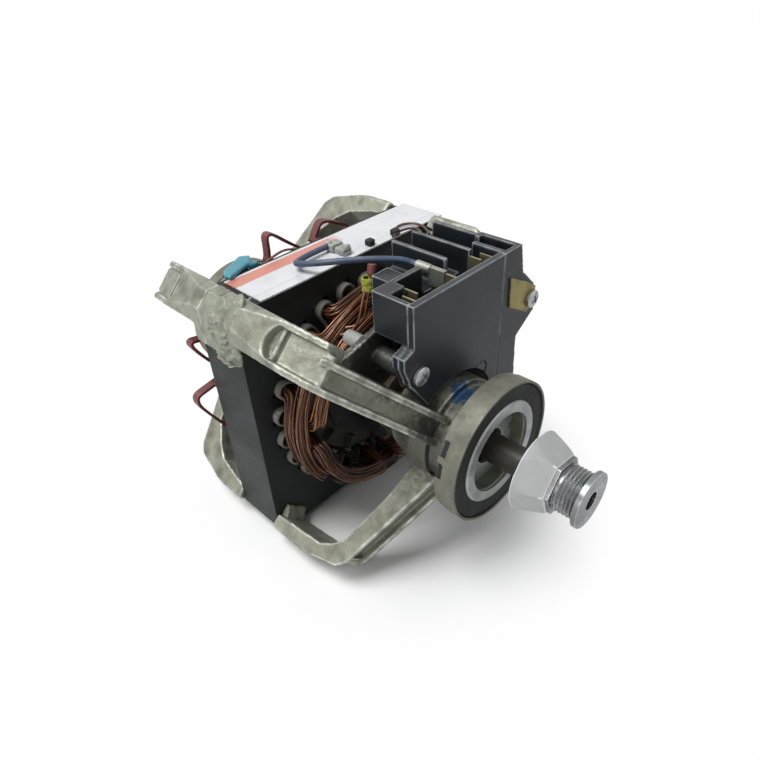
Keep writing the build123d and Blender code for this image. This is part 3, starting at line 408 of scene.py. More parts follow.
    def _laminated(self) -> bpy.types.NodeTree:
        """Build the edges of stacked sheets: sharp bands along X, broken a little by noise.

        Returns:
            The node group.
        """
        group = self._relief("sheet edges")
        wave = group.node("TexWave", {"Vector": group.coordinates(), "Scale": group.take("Scale"),
                                      "Distortion": self.sheet_waver}, bands_direction="X")
        grain = group.noise(self.sheet_cells, detail=3.0)
        return group.give("Height", group.maths("MULTIPLY_ADD", grain, self.sheet_share,
                                                wave.outputs["Fac"]))

    def _mark(self) -> bpy.types.NodeTree:
        """Build a ragged dab of colour round one point, used for a worn paint mark and for patches of painted
        shade.

        Returns:
            The node group.
        """
        group = EffectGroup("paint and shade dab", {
            "Color": ("Ground", "Paint"), "Vector": ("Centre",), "Float": ("Size",)}, ONE_COLOUR)
        way = group.node("VectorMath", {0: group.coordinates(), 1: group.take("Centre")},
                         operation="DISTANCE")
        share = group.maths("DIVIDE", way.outputs["Value"], group.take("Size"))
        ragged = group.maths("MULTIPLY_ADD", group.noise(self.dab_cells, detail=4.0), self.dab_ragged, share)
        paint = group.spread(ragged, self.dab_edge)
        return group.give("Color", group.mix(paint, group.take("Ground"), group.take("Paint")))

    def _strip(self) -> bpy.types.NodeTree:
        """Build the colours of the bare label plate with its pale red strip and its thin line.

        Returns:
            The node group.
        """
        group = EffectGroup("label strip", {"Color": ("Ground", "Strip", "Line")}, ONE_COLOUR)
        split = group.axes(group.coordinates()).outputs
        ragged = group.maths("MULTIPLY_ADD", group.noise(self.strip_cells, detail=2.0), self.strip_ragged,
                             split["X"])
        band = group.product(group.spread(ragged, self.strip_rear), group.spread(ragged, self.strip_front),
                             group.spread(split["Y"], self.strip_end))
        line = group.product(group.spread(split["X"], self.line_rear),
                             group.spread(split["X"], self.line_front))
        ground = group.mix(line, group.take("Ground"), group.take("Line"))
        return group.give("Color", group.mix(band, ground, group.take("Strip")))


@dataclass(frozen=True)
class Skin:
    """How a solid is remeshed, softened and made uneven: all but its passes in millimetres."""

    voxel: float
    passes: int
    lift: float = 0.0
    cell: float = 5.0


@dataclass(frozen=True)
class Finish:
    """One surface finish, made into a material with its own values of the shared effects.

    Each mark is the colour, place and size of a dab; the dabs are paint marks and patches of painted shade.
    """

    name: str
    base: Colour
    shade: Colour
    metallic: float = 0.0
    gloss: Limits = (0.4, 0.6)
    mottle_scale: float = 60.0
    mottle: float = 0.6
    grain: Grain = Grain.MOULDED
    grain_scale: float = 900.0
    relief: float = 0.15
    # The next three lighten the edges towards a bare colour: partly rubbing, partly painted highlight.
    bare: Colour = (0.7, 0.7, 0.68)
    wear_and_highlight: float = 0.0
    edge_wear_and_highlight: float = 0.35
    # Lighter tint on upward faces: dust, and on the black moulding painted sheen.
    dust_and_sheen: float = 0.0
    dust_and_sheen_colour: Colour = (0.62, 0.60, 0.55)
    # Darker stains and hollows: the stains are grime, the hollows painted shade.
    stains_and_shade: float = 0.0
    stains_and_shade_colour: Colour = (0.05, 0.045, 0.04)
    coat: float = 0.0
    specular: float = 0.5
    sheen: float = 0.0
    strip: Colour | None = None
    marks: tuple[tuple[Colour, Place, float], ...] = ()

    def edge(self) -> "Finish":
        """Give the finish that this one has along its edges, lighter by rubbing and by painted highlight.

        Returns:
            The edge's finish.
        """
        def lighten(colour: Colour, share: float) -> Colour:
            """Move a colour towards the lighter bare one, as rubbing and painted highlight do."""
            return tuple(c + (b - c) * share for c, b in zip(colour, self.bare))
        return replace(self, name=f"{self.name} edge", base=lighten(self.base, self.edge_wear_and_highlight),
                       shade=lighten(self.shade, self.edge_wear_and_highlight / 2), wear_and_highlight=0.0, dust_and_sheen=self.dust_and_sheen / 2)

    def build(self, effects: Effects) -> bpy.types.Material:
        """Make the material.

        Args:
            effects: The shared node groups.

        Returns:
            The finished material.
        """
        material = bpy.data.materials.new(self.name)
        material.use_nodes = True
        material.diffuse_color = rgba(self.base)
        sheet = NodeSheet(material.node_tree)

        def effect(name: str, inputs: Inputs) -> bpy.types.NodeOutputs:
            """Put a shared group in this material with its own values."""
            return sheet.node("Group", inputs, node_tree=effects.get(name)).outputs

        mottle = effect("mottle", {"Base": rgba(self.base), "Shade": rgba(self.shade),
                                   "Scale": self.mottle_scale, "Amount": self.mottle,
                                   "Gloss Low": self.gloss[0], "Gloss High": self.gloss[1]})
        colour = mottle["Color"]
        if self.strip:
            colour = effect("strip", {"Ground": colour, "Strip": rgba(self.strip),
                                      "Line": rgba(self.shade)})["Color"]
        # Edges lighter by rubbing and by painted highlight.
        if self.wear_and_highlight:
            colour = effect("wear_and_highlight", {"Color": colour, "Bare And Lit": rgba(self.bare), "Amount": self.wear_and_highlight})["Color"]
        # Upward faces lighter with dust and painted sheen; stains darker with grime, hollows with painted
        # shade.
        if self.dust_and_sheen or self.stains_and_shade:
            colour = effect("dust_and_sheen", {"Color": colour, "Dust And Sheen": rgba(self.dust_and_sheen_colour),
                                     "Stains And Shade": rgba(self.stains_and_shade_colour), "Dust Amount": self.dust_and_sheen,
                                     "Dirt Amount": self.stains_and_shade})["Color"]
        # Dabs of paint and of painted shade.
        for paint, centre, size in self.marks:
            colour = effect("mark", {"Ground": colour, "Paint": rgba(paint), "Centre": centre,
                                     "Size": size})["Color"]
        height = effect(self.grain.value, {"Scale": self.grain_scale})["Height"]
        bump = sheet.node("Bump", {"Strength": self.relief, "Distance": BUMP_DISTANCE, "Height": height})
        shader = material.node_tree.nodes["Principled BSDF"]
        for name, value in (("Metallic", self.metallic), ("Coat Weight", self.coat),
                            ("Coat Roughness", COAT_ROUGHNESS), ("Specular IOR Level", self.specular),
                            ("Sheen Weight", self.sheen), ("Normal", bump.outputs["Normal"]),
                            ("Base Color", colour), ("Roughness", mottle["Roughness"])):
            sheet.feed(shader.inputs[name], value)
        return material


# Node, piece name, finish, edge rounding in millimetres and, where it isn't 2, faces across it.
FinePieces = tuple[tuple[str, str, Finish, float] | tuple[str, str, Finish, float, int], ...]

# Its pale edges are partly rubbed, partly painted highlight; its darker hollows are painted shade.
CASTING = Finish("cast aluminium", (0.315, 0.322, 0.257), (0.185, 0.19, 0.143), 0.3, (0.32, 0.52), 110, 0.8,
                 Grain.CAST, 650, 0.7, (0.80, 0.81, 0.76), 0.8, dust_and_sheen=0.0, stains_and_shade=0.6,
                 stains_and_shade_colour=(0.06, 0.06, 0.045))
FRONT_CASTING = replace(CASTING, name="front cast aluminium", marks=(
    # Three dabs of painted shade: on the boss under the switch's lower ear, and two on the hub barrel behind
    # the ring. The fourth is a blue paint mark.
    ((0.055, 0.058, 0.05), (-0.042, -0.0235, 0.037), 0.021),
    ((0.10, 0.10, 0.08), (-0.021, -0.021, 0.004), 0.021),
    ((0.12, 0.12, 0.10), (-0.018, 0.014, 0.018), 0.016),
    ((0.025, 0.085, 0.19), (-0.0155, -0.001, 0.0195), 0.0068)))
LAMINATION = Finish("varnished sheet stack", (0.0075, 0.0095, 0.0095), (0.013, 0.016, 0.016), 0.0,
                    (0.38, 0.6), 40, 0.7, Grain.LAMINATED, 480, 0.4, dust_and_sheen=0.04,
                    dust_and_sheen_colour=(0.16, 0.16, 0.15), specular=0.3)
ADHESIVE = Finish("cured bond", (0.275, 0.29, 0.22), (0.155, 0.165, 0.12), 0.05, (0.34, 0.55), 60, 1.0,
                  Grain.CAST, 500, 0.6, (0.5, 0.52, 0.43), 0.3, stains_and_shade=0.45, stains_and_shade_colour=(0.07, 0.07, 0.05))
LINER = Finish("slot film", (0.40, 0.405, 0.385), (0.24, 0.245, 0.225), 0.0, (0.4, 0.6), 120, 0.8,
               Grain.MOULDED, 700, 0.15, stains_and_shade=0.5, stains_and_shade_colour=(0.08, 0.06, 0.04))
COPPER = Finish("enamelled copper", (0.26, 0.098, 0.037), (0.11, 0.038, 0.018), 0.35, (0.24, 0.42), 160, 0.9,
                Grain.MOULDED, 900, 0.1, stains_and_shade=0.35, coat=0.35)
# Lit and shaded copies of the copper. The bright one is painted light on the upper poles. The dark one is a
# darker tone there and painted shade on the low poles. The darkest is painted deep shade on the lowest pole.
COPPER_LIT = replace(COPPER, name="painted-light enamelled copper", base=(0.42, 0.175, 0.055),
                        shade=(0.24, 0.09, 0.032))
COPPER_DARK_AND_SHADED = replace(COPPER, name="dark and painted-shade enamelled copper", base=(0.13, 0.042, 0.022),
                      shade=(0.055, 0.02, 0.013))
COPPER_DEEP_SHADE = replace(COPPER, name="painted deep-shade enamelled copper", base=(0.042, 0.018, 0.013),
                       shade=(0.02, 0.01, 0.008))
RING_BAND = Finish("dull ring band", (0.19, 0.19, 0.15), (0.11, 0.11, 0.085), 0.3, (0.42, 0.62), 80, 0.9,
                   Grain.CAST, 900, 0.2, (0.42, 0.41, 0.37), edge_wear_and_highlight=0.5, dust_and_sheen=0.08, stains_and_shade=0.45)
RUBBER = Finish("moulded rubber", (0.012, 0.013, 0.013), (0.022, 0.022, 0.022), 0.0, (0.55, 0.8), 100, 0.7,
                Grain.MOULDED, 900, 0.2, (0.06, 0.06, 0.06), dust_and_sheen=0.08, specular=0.25)
RING_CORE = Finish("plated ring core", (0.46, 0.47, 0.46), (0.30, 0.31, 0.30), 0.4, (0.28, 0.45), 70, 0.7,
                   Grain.TURNED, 500, 0.1, (0.62, 0.62, 0.62), stains_and_shade=0.35)
BRONZE = Finish("sintered bronze", (0.36, 0.24, 0.11), (0.2, 0.13, 0.06), 0.6, (0.4, 0.6), 90, 0.7,
                Grain.CAST, 900, 0.2)
FELT = Finish("oiled felt", (0.20, 0.18, 0.13), (0.11, 0.10, 0.07), 0.0, (0.8, 0.95), 150, 0.8, Grain.WOVEN,
              600, 0.5, sheen=0.3)
CAP_STEEL = Finish("pressed cap steel", (0.44, 0.46, 0.46), (0.27, 0.285, 0.29), 0.3, (0.32, 0.48), 60, 0.8,
                   Grain.TURNED, 500, 0.15, (0.66, 0.67, 0.67), edge_wear_and_highlight=0.7, stains_and_shade=0.25)
# Near black in its hollows, painted shade in the pulley's grooves; its edges are lighter by rubbing and by
# painted highlight.
BRIGHT_STEEL = Finish("bright turned steel", (0.33, 0.345, 0.355), (0.13, 0.14, 0.15), 0.95, (0.2, 0.36), 60,
                      0.8, Grain.TURNED, 500, 0.15, (0.72, 0.73, 0.73), edge_wear_and_highlight=0.8, stains_and_shade=0.4,
                      stains_and_shade_colour=(0.03, 0.03, 0.03))
DARK_STEEL = Finish("oiled ground steel", (0.075, 0.073, 0.062), (0.032, 0.031, 0.026), 0.6, (0.35, 0.55),
                    80, 0.8, Grain.TURNED, 500, 0.15, (0.3, 0.29, 0.27), stains_and_shade=0.3, specular=0.3)
ROTOR_STEEL = Finish("rotor sheets", (0.028, 0.028, 0.028), (0.016, 0.016, 0.016), 0.6, (0.4, 0.6), 80, 0.7,
                     Grain.LAMINATED, 480, 0.4, (0.2, 0.2, 0.2))
ROTOR_CAGE = Finish("die-cast cage", (0.07, 0.07, 0.065), (0.03, 0.03, 0.028), 0.6, (0.4, 0.6), 70, 0.8,
                    Grain.CAST, 800, 0.3, stains_and_shade=0.5)
# Its grey edges are partly rubbed, partly painted highlight; its bluish tint on upward faces is dust and
# painted sheen.
BLACK_PLASTIC = Finish("black moulding", (0.0105, 0.0135, 0.0165), (0.0165, 0.021, 0.025), 0.0, (0.30, 0.48),
                       35, 0.8, Grain.MOULDED, 700, 0.1, (0.42, 0.45, 0.46), 0.72, edge_wear_and_highlight=0.6, dust_and_sheen=0.25,
                       dust_and_sheen_colour=(0.08, 0.092, 0.095), specular=0.4)
BROWN_PLASTIC = Finish("phenolic moulding", (0.06, 0.038, 0.024), (0.035, 0.022, 0.014), 0.0, (0.45, 0.65),
                       80, 0.7, Grain.MOULDED, 800, 0.15, (0.14, 0.1, 0.07))
# Its edges lighten almost to white: painted highlight with some rubbing.
COVER_PLASTIC = Finish("off-white cone", (0.45, 0.46, 0.455), (0.35, 0.36, 0.36), 0.1, (0.32, 0.45), 35, 0.6,
                       Grain.MOULDED, 700, 0.1, (0.88, 0.88, 0.87), edge_wear_and_highlight=0.9, stains_and_shade=0.1,
                       stains_and_shade_colour=(0.2, 0.2, 0.19), specular=0.45)
TERMINAL = Finish("tinned brass", (0.36, 0.33, 0.19), (0.2, 0.18, 0.1), 0.8, (0.3, 0.5), 120, 0.8,
                  Grain.MOULDED, 900, 0.1, (0.6, 0.57, 0.4), edge_wear_and_highlight=0.5)
CRIMP = Finish("tinned crimp", (0.40, 0.42, 0.37), (0.2, 0.22, 0.18), 0.7, (0.3, 0.5), 150, 0.9,
               Grain.MOULDED, 900, 0.15, (0.7, 0.7, 0.66), edge_wear_and_highlight=0.5)
ZINC = Finish("bright zinc", (0.52, 0.54, 0.55), (0.32, 0.33, 0.34), 0.9, (0.22, 0.4), 120, 0.7,
              Grain.MOULDED, 900, 0.1, wear_and_highlight=0.3, stains_and_shade=0.3)
YELLOW_ZINC = Finish("yellow passivated zinc", (0.38, 0.32, 0.11), (0.20, 0.165, 0.06), 0.7, (0.3, 0.5), 130,
                     0.9, Grain.MOULDED, 700, 0.15, (0.52, 0.46, 0.2), edge_wear_and_highlight=0.5, stains_and_shade=0.35)
LABEL = Finish("bare label plate", (0.74, 0.75, 0.77), (0.58, 0.59, 0.62), 0.0, (0.22, 0.4), 50, 0.5,
               Grain.MOULDED, 500, 0.06, stains_and_shade=0.08, coat=0.3, strip=(0.60, 0.22, 0.165))
TEAL = Finish("teal clip", (0.05, 0.27, 0.34), (0.03, 0.19, 0.26), 0.0, (0.3, 0.5), 90, 0.6,
              bare=(0.25, 0.5, 0.56), edge_wear_and_highlight=0.6, coat=0.2)
RED_SLEEVE = Finish("maroon sleeve", (0.155, 0.034, 0.032), (0.08, 0.018, 0.018), 0.0, (0.4, 0.6), 120, 0.8,
                    Grain.WOVEN, 900, 0.3, (0.34, 0.13, 0.12), edge_wear_and_highlight=0.5, coat=0.1)
BLUE_LEAD = Finish("blue lead", (0.030, 0.055, 0.11), (0.018, 0.03, 0.055), 0.0, (0.35, 0.52), 90, 0.6,
                   dust_and_sheen=0.15, coat=0.1)
BROWN_LEAD = Finish("brown lead", (0.085, 0.03, 0.027), (0.05, 0.018, 0.018), 0.0, (0.35, 0.5), 120, 0.6,
                    coat=0.15)
PALE_PLASTIC = Finish("pale moulding", (0.40, 0.42, 0.38), (0.24, 0.25, 0.23), 0.0, (0.4, 0.6), 110, 0.8,
                      bare=(0.62, 0.63, 0.6), stains_and_shade=0.35)
TIE = Finish("yellow-green tie", (0.40, 0.41, 0.03), (0.2, 0.22, 0.025), 0.0, (0.4, 0.6), 200, 0.8,
             Grain.WOVEN, 700, 0.3)

REST_FINISHES: dict[str, Finish] = {
    "stator_core": LAMINATION, "slot_wedges": LINER, "bearings": BRONZE, "oil_felts": FELT,
    "bearing_caps": CAP_STEEL, "lever_pin": BRIGHT_STEEL, "rotor_core": ROTOR_STEEL,
    "rotor_end_rings": ROTOR_CAGE, "thrust_washers": BRIGHT_STEEL, "weight_pins": BRIGHT_STEEL}


def polar(x: float, r: float, angle: float) -> Vector:
    """Give a point by its place along the shaft, its radius and its angle from +Y.

    Args:
        x: Place along the shaft, in millimetres.
        r: Radius, in millimetres.
        angle: Angle about the shaft, in degrees.

    Returns:
        The point in metres.
    """
    turn = math.radians(angle)
    return Vector((x, r * math.cos(turn), r * math.sin(turn))) * MM


def finished(name: str, work: bmesh.types.BMesh) -> bpy.types.Mesh:
    """Turn what was worked on into a new mesh and free it.

    Args:
        name: Name of the mesh.
        work: What it is made of.

    Returns:
        The new mesh.
    """
    mesh = bpy.data.meshes.new(name)
    work.to_mesh(mesh)
    work.free()
    return mesh


def join_rings(work: bmesh.types.BMesh, rings: Sequence[Ring]) -> None:
    """Add the faces between closed rings of points.

    Args:
        work: Mesh to add to.
        rings: The rings, one after the other.
    """
    for low, high in zip(rings, rings[1:]):
        for k, corner in enumerate(low):
            after = (k + 1) % len(low)
            work.faces.new((corner, low[after], high[after], high[k]))


def bar(work: bmesh.types.BMesh, rings: Sequence[Ring]) -> None:
    """Add a bar's sides and both its ends.

    Args:
        work: Mesh to add to.
        rings: The bar's sections, one after the other.
    """
    join_rings(work, rings)
    work.faces.new(rings[0][::-1])
    work.faces.new(rings[-1])


def section(work: bmesh.types.BMesh, middle: Vector, side: Vector, wide: Vector) -> Ring:
    """Add the four corners of a bar's section.

    Args:
        work: Mesh to add to.
        middle: Middle of the section, in millimetres.
        side: Half of its thickness.
        wide: Half of its width.

    Returns:
        The corners in order.
    """
    corners = (middle + side + wide, middle + side - wide, middle - side - wide, middle - side + wide)
    return [work.verts.new(corner * MM) for corner in corners]


class Workshop:
    """Holds the frame, makes pieces out of its nodes and dresses them."""

    def __init__(self, frame: dict) -> None:
        """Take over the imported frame.
        """
        self.nodes: dict[str, bpy.types.Object] = frame["nodes"]
        bodies = frame["record"]["behaviour"]["bodies"]
        self.body_of = {node: body for body, members in bodies.items() for node in members}
        self.slot_of = {entry["node"]: entry["material_slot"] for entry in frame["record"]["subparts"]}
        self.effects = Effects()
        self.materials: dict[str, bpy.types.Material] = {}
        self.replaced: set[str] = set()

    def material(self, finish: Finish) -> bpy.types.Material:
        """Give a finish's material, made once."""
        if finish.name not in self.materials:
            self.materials[finish.name] = finish.build(self.effects)
        return self.materials[finish.name]

    def dress(self, piece: bpy.types.Object, *finishes: Finish) -> None:
        """Give a piece its finishes.

        Args:
            piece: Mesh or curve object.
            finishes: One for each material slot in order, or one for all of them.
        """
        while len(piece.data.materials) < len(finishes):
            piece.data.materials.append(None)
        for number, slot in enumerate(piece.material_slots):
            slot.material = self.material(finishes[min(number, len(finishes) - 1)])

    def place(self, piece: bpy.types.Object, node: str, *finishes: Finish) -> None:
        """Dress a new piece, fix it to its body and let it stand for a CAD node.

        Args:
            piece: The new piece.
            node: Node that it stands for.
            finishes: One for each material slot.
        """
        self.dress(piece, *finishes)
        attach(piece, self.body_of[node])
        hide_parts(node)
        self.replaced.add(node)
        LOG.info("%s placed with finish %s", piece.name, finishes[0].name)

    @staticmethod
    def adopt(name: str, data: bpy.types.ID) -> bpy.types.Object:
        """Put a mesh, curve, camera or light in the scene.

        Args:
            name: Name of the object.
            data: What it shows.

        Returns:
            The new object, at the origin.
        """
        piece = bpy.data.objects.new(name, data)
        bpy.context.scene.collection.objects.link(piece)
        return piece

    def copy_of(self, node: str, name: str, flat: float = 1.0) -> bpy.types.Object:
        """Copy a node's mesh with its doubled points joined and its flat faces merged.

        Args:
            node: Node to copy.
            name: Name of the new piece.
            flat: Faces that differ by less than this many degrees are merged.

        Returns:
            The new piece.
        """
        mesh = self.nodes[node].data.copy()
        mesh.materials.clear()
        work = bmesh.new()
        work.from_mesh(mesh)
        bmesh.ops.remove_doubles(work, verts=work.verts, dist=DOUBLED)
        if flat:
            bmesh.ops.dissolve_limit(work, angle_limit=math.radians(flat), verts=work.verts,
                                     edges=work.edges)
        work.to_mesh(mesh)
        work.free()
        if "custom_normal" in mesh.attributes:
            mesh.attributes.remove(mesh.attributes["custom_normal"])
        return self.adopt(name, mesh)

    @staticmethod
    def settle(piece: bpy.types.Object) -> None:
        """Apply a piece's modifiers to its mesh.

        Args:
            piece: The piece.
        """
        graph = bpy.context.evaluated_depsgraph_get()
        mesh = bpy.data.meshes.new_from_object(piece.evaluated_get(graph))
        piece.modifiers.clear()
        piece.data = mesh

    @staticmethod
    def smooth(piece: bpy.types.Object, angle: float) -> None:
        """Shade a mesh smooth but for its sharp edges.

        Args:
            piece: The piece.
            angle: Edges sharper than this many degrees stay sharp.
        """
        piece.data.shade_smooth()
        work = bmesh.new()
        work.from_mesh(piece.data)
        limit = math.radians(angle)
        for edge in work.edges:
            edge.smooth = len(edge.link_faces) != 2 or edge.calc_face_angle(0.0) < limit
        work.to_mesh(piece.data)
        work.free()
        weighted = piece.modifiers.new("flat faces stay flat", "WEIGHTED_NORMAL")
        weighted.mode = "FACE_AREA"
        weighted.keep_sharp = True
        Workshop.settle(piece)

    def round_off(self, piece: bpy.types.Object, node: str, finishes: Sequence[Finish], width: float,
                  segments: int = 2, angle: float = 50.0, soft: float = 50.0,
                  miter: str = "MITER_SHARP") -> None:
        """Round a piece's edges and stand it in for a node.

        Args:
            piece: The new piece.
            node: Node to stand for.
            finishes: Its finish, and that of the rounded edges when it has one of their own.
            width: Edge rounding, in millimetres.
            segments: Faces across each rounding.
            angle: Edges sharper than this many degrees are rounded.
            soft: Edges flatter than this many degrees are shaded smooth.
            miter: How the roundings meet at outer corners.
        """
        bevel = piece.modifiers.new("edges", "BEVEL")
        bevel.width = width * MM
        bevel.segments = segments
        bevel.limit_method = "ANGLE"
        bevel.angle_limit = math.radians(angle)
        bevel.miter_outer = miter
        if len(finishes) > 1:
            bevel.material = 1
        self.dress(piece, *finishes)
        self.settle(piece)
        self.smooth(piece, soft)
        self.place(piece, node, *finishes)

    def fine(self, node: str, name: str, finish: Finish, width: float, segments: int = 2) -> None:
        """Stand a copy with rounded edges in for a node, its edges lighter by rubbing and by painted
        highlight.

        Args:
            node: Node to stand for.
            name: Piece name.
            finish: Its finish.
            width: Edge rounding, in millimetres.
            segments: Faces across each rounding.
        """
        self.round_off(self.copy_of(node, name), node, (finish, finish.edge()), width, segments,
                       FINE_ANGLE, FINE_ANGLE, "MITER_ARC")

    def lumpy(self, node: str, name: str, finish: Finish, form: Skin,
              extra: bpy.types.Mesh | None = None) -> bpy.types.Object:
        """Stand a softened and slightly uneven copy in for a node.

        Args:
            node: Node to stand for.
            name: Piece name.
            finish: Its finish.
            form: How its skin is softened.
            extra: Mesh that is melted into the piece.

        Returns:
            The new piece.
        """
        piece = self.copy_of(node, name, 0.0)
        if extra:
            work = bmesh.new()
            work.from_mesh(piece.data)
            work.from_mesh(extra)
            work.to_mesh(piece.data)
            work.free()
        remesh = piece.modifiers.new("skin", "REMESH")
        remesh.mode = "VOXEL"
        remesh.voxel_size = form.voxel * MM
        soften = piece.modifiers.new("soften", "SMOOTH")
        soften.factor = SOFTENING
        soften.iterations = form.passes
        self.settle(piece)
        mesh = piece.data
        normals = [vertex.normal.copy() for vertex in mesh.vertices]
        for vertex, normal in zip(mesh.vertices, normals):
            height = noise.fractal(vertex.co / (form.cell * MM), *LUMP_FRACTAL,
                                   noise_basis="PERLIN_ORIGINAL")
            vertex.co += normal * (height * form.lift * MM)
        mesh.shade_smooth()
        self.place(piece, node, finish)
        return piece

    def wires(self, node: str, name: str, finishes: Sequence[Finish], routes: Sequence[Sequence[Vector]],
              radius: float, closed: bool = False, order: int = 3, steps: int = 4, sides: int = 2) -> None:
        """Stand round wires along smooth lines in for a node.

        Args:
            node: Node to stand for.
            name: Piece name.
            finishes: Finishes that the wires take at random.
            routes: Control points of each wire, in metres.
            radius: Wire radius, in millimetres.
            closed: Whether each wire joins up with itself.
            order: Order of the smooth line.
            steps: Divisions between control points.
            sides: Bevel resolution.
        """
        rng = random.Random(name)
        curve = bpy.data.curves.new(name, "CURVE")
        curve.dimensions = "3D"
        curve.bevel_depth = radius * MM
        curve.bevel_resolution = sides
        curve.use_fill_caps = True
        curve.resolution_u = steps
        for _ in finishes:
            curve.materials.append(None)
        for route in routes:
            spline = curve.splines.new("NURBS")
            spline.points.add(len(route) - 1)
            for point, spot in zip(spline.points, route):
                point.co = (*spot, 1.0)
            spline.order_u = order
            spline.use_cyclic_u = closed
            spline.use_endpoint_u = not closed
            spline.use_smooth = True
            spline.material_index = rng.randrange(len(finishes))
        self.place(self.adopt(name, curve), node, *finishes)

    def dress_rest(self) -> None:
        """Give every node that still shows its finish."""
        for name, node in self.nodes.items():
            if name not in self.replaced:
                self.dress(node, REST_FINISHES[name])
                LOG.info("%s keeps its solid with finish %s", name, REST_FINISHES[name].name)


@dataclass
class Assembly:
    """A sub-assembly, whose pieces are made in the workshop."""

    shop: Workshop

    def fine_all(self, pieces: FinePieces) -> None:
        """Round the edges of a table of pieces."""
        for values in pieces:
            self.shop.fine(*values)


@dataclass
class Castings(Assembly):
    """The two spiders that hold the stack, and the cured bond round it.

    Each lump spread is where the lumps start and end along the shaft, their first and last angle, and
    how many there are. Each drip is a place and a size.
    """

    skin: Skin = Skin(voxel=0.6, passes=3, lift=0.1, cell=4.5)
    bead_skin: Skin = Skin(voxel=0.45, passes=7, lift=0.35, cell=4.0)
    lump_seed: int = 21
    lump_spread: tuple[tuple[float, float, float, float, int], ...] = (
        (-91.5, -77.5, 133.0, 145.0, 40), (-85.5, -77.0, 127.5, 133.0, 7), (-88.0, -78.5, 143.0, 151.0, 16))
    lump_facing: float = 135.0
    lump_size: Limits = (1.3, 3.1)
    lump_length: Limits = (0.9, 1.5)
    lump_width: Limits = (0.8, 1.2)
    lump_height: float = 0.3
    lump_detail: int = 3
    lump_plane: float = 86.6
    lump_half: float = 64.2
    drips: tuple[tuple[float, float, float, float], ...] = (
        (-80.2, -63.2, 44.0, 5.2), (-79.6, -63.4, 41.5, 5.0), (-84.5, -63.0, 45.0, 4.2),
        (-83.6, -63.2, 42.0, 3.8), (-78.6, -63.2, 46.0, 4.6))
    drip_facing: Place = (0.0, -1.0, 0.0)
    drip_side: float = -58.0
    drip_low: float = 20.0
    drip_end: float = 41.5
    drip_squeeze: float = 0.3

    def build(self) -> None:
        """Make the castings with soft edges and uneven skin."""
        self.shop.lumpy("front_end_frame", "front_casting", FRONT_CASTING, self.skin)
        self.shop.lumpy("rear_end_frame", "rear_casting", CASTING, self.skin)
        beads = self.shop.lumpy("bond_pads", "bond_beads", ADHESIVE, self.bead_skin, self._lumps())
        end = self.drip_end * MM
        for point in beads.data.vertices:
            if point.co.y < self.drip_side * MM and self.drip_low * MM < point.co.z < end:
                point.co.z = end + (point.co.z - end) * self.drip_squeeze

    def _lumps(self) -> bpy.types.Mesh:
        """Give the squeezed-out lumps of bond over the top-left joint, and the drip below it.

        Returns:
            One mesh with all of them.
        """
        rng = random.Random(self.lump_seed)
        work = bmesh.new()
        spots = []
        for front, rear, low, high, count in self.lump_spread:
            for _ in range(count):
                angle = rng.uniform(low, high)
                turn = math.radians(angle)
                surface = min(self.lump_plane, self.lump_half / abs(math.cos(turn)),
                              self.lump_half / math.sin(turn))
                spots.append((polar(rng.uniform(front, rear), surface, angle),
                              polar(0, 1, self.lump_facing), rng.uniform(*self.lump_size)))
        spots += [(Vector(spot) * MM, Vector(self.drip_facing), size) for *spot, size in self.drips]
        for spot, out, size in spots:
            shape = Matrix.Diagonal((rng.uniform(*self.lump_length), rng.uniform(*self.lump_width),
                                     self.lump_height, 1.0))
            facing = out.to_track_quat("Z", "X").to_matrix().to_4x4()
            turned = facing @ Matrix.Rotation(rng.uniform(0, math.pi), 4, "Z")
            bmesh.ops.create_icosphere(work, subdivisions=self.lump_detail, radius=size * MM,
                                       matrix=Matrix.Translation(spot) @ turned @ shape)
        return finished("lumps", work)


@dataclass
class Rings(Assembly):
    """The rubber-mounted rings at both ends."""

    band_edge: float = 0.18
    rubber_edge: float = 0.35
    core_edge: float = 0.3

    def build(self) -> None:
        """Round the edges of both rings."""
        for end in ("front", "rear"):
            self.shop.fine(f"{end}_ring_shell", f"{end}_ring_band", RING_BAND, self.band_edge)
            self.shop.fine(f"{end}_ring_rubber", f"{end}_ring_cushion", RUBBER, self.rubber_edge)
            self.shop.fine(f"{end}_ring_core", f"{end}_ring_sleeve", RING_CORE, self.core_edge)


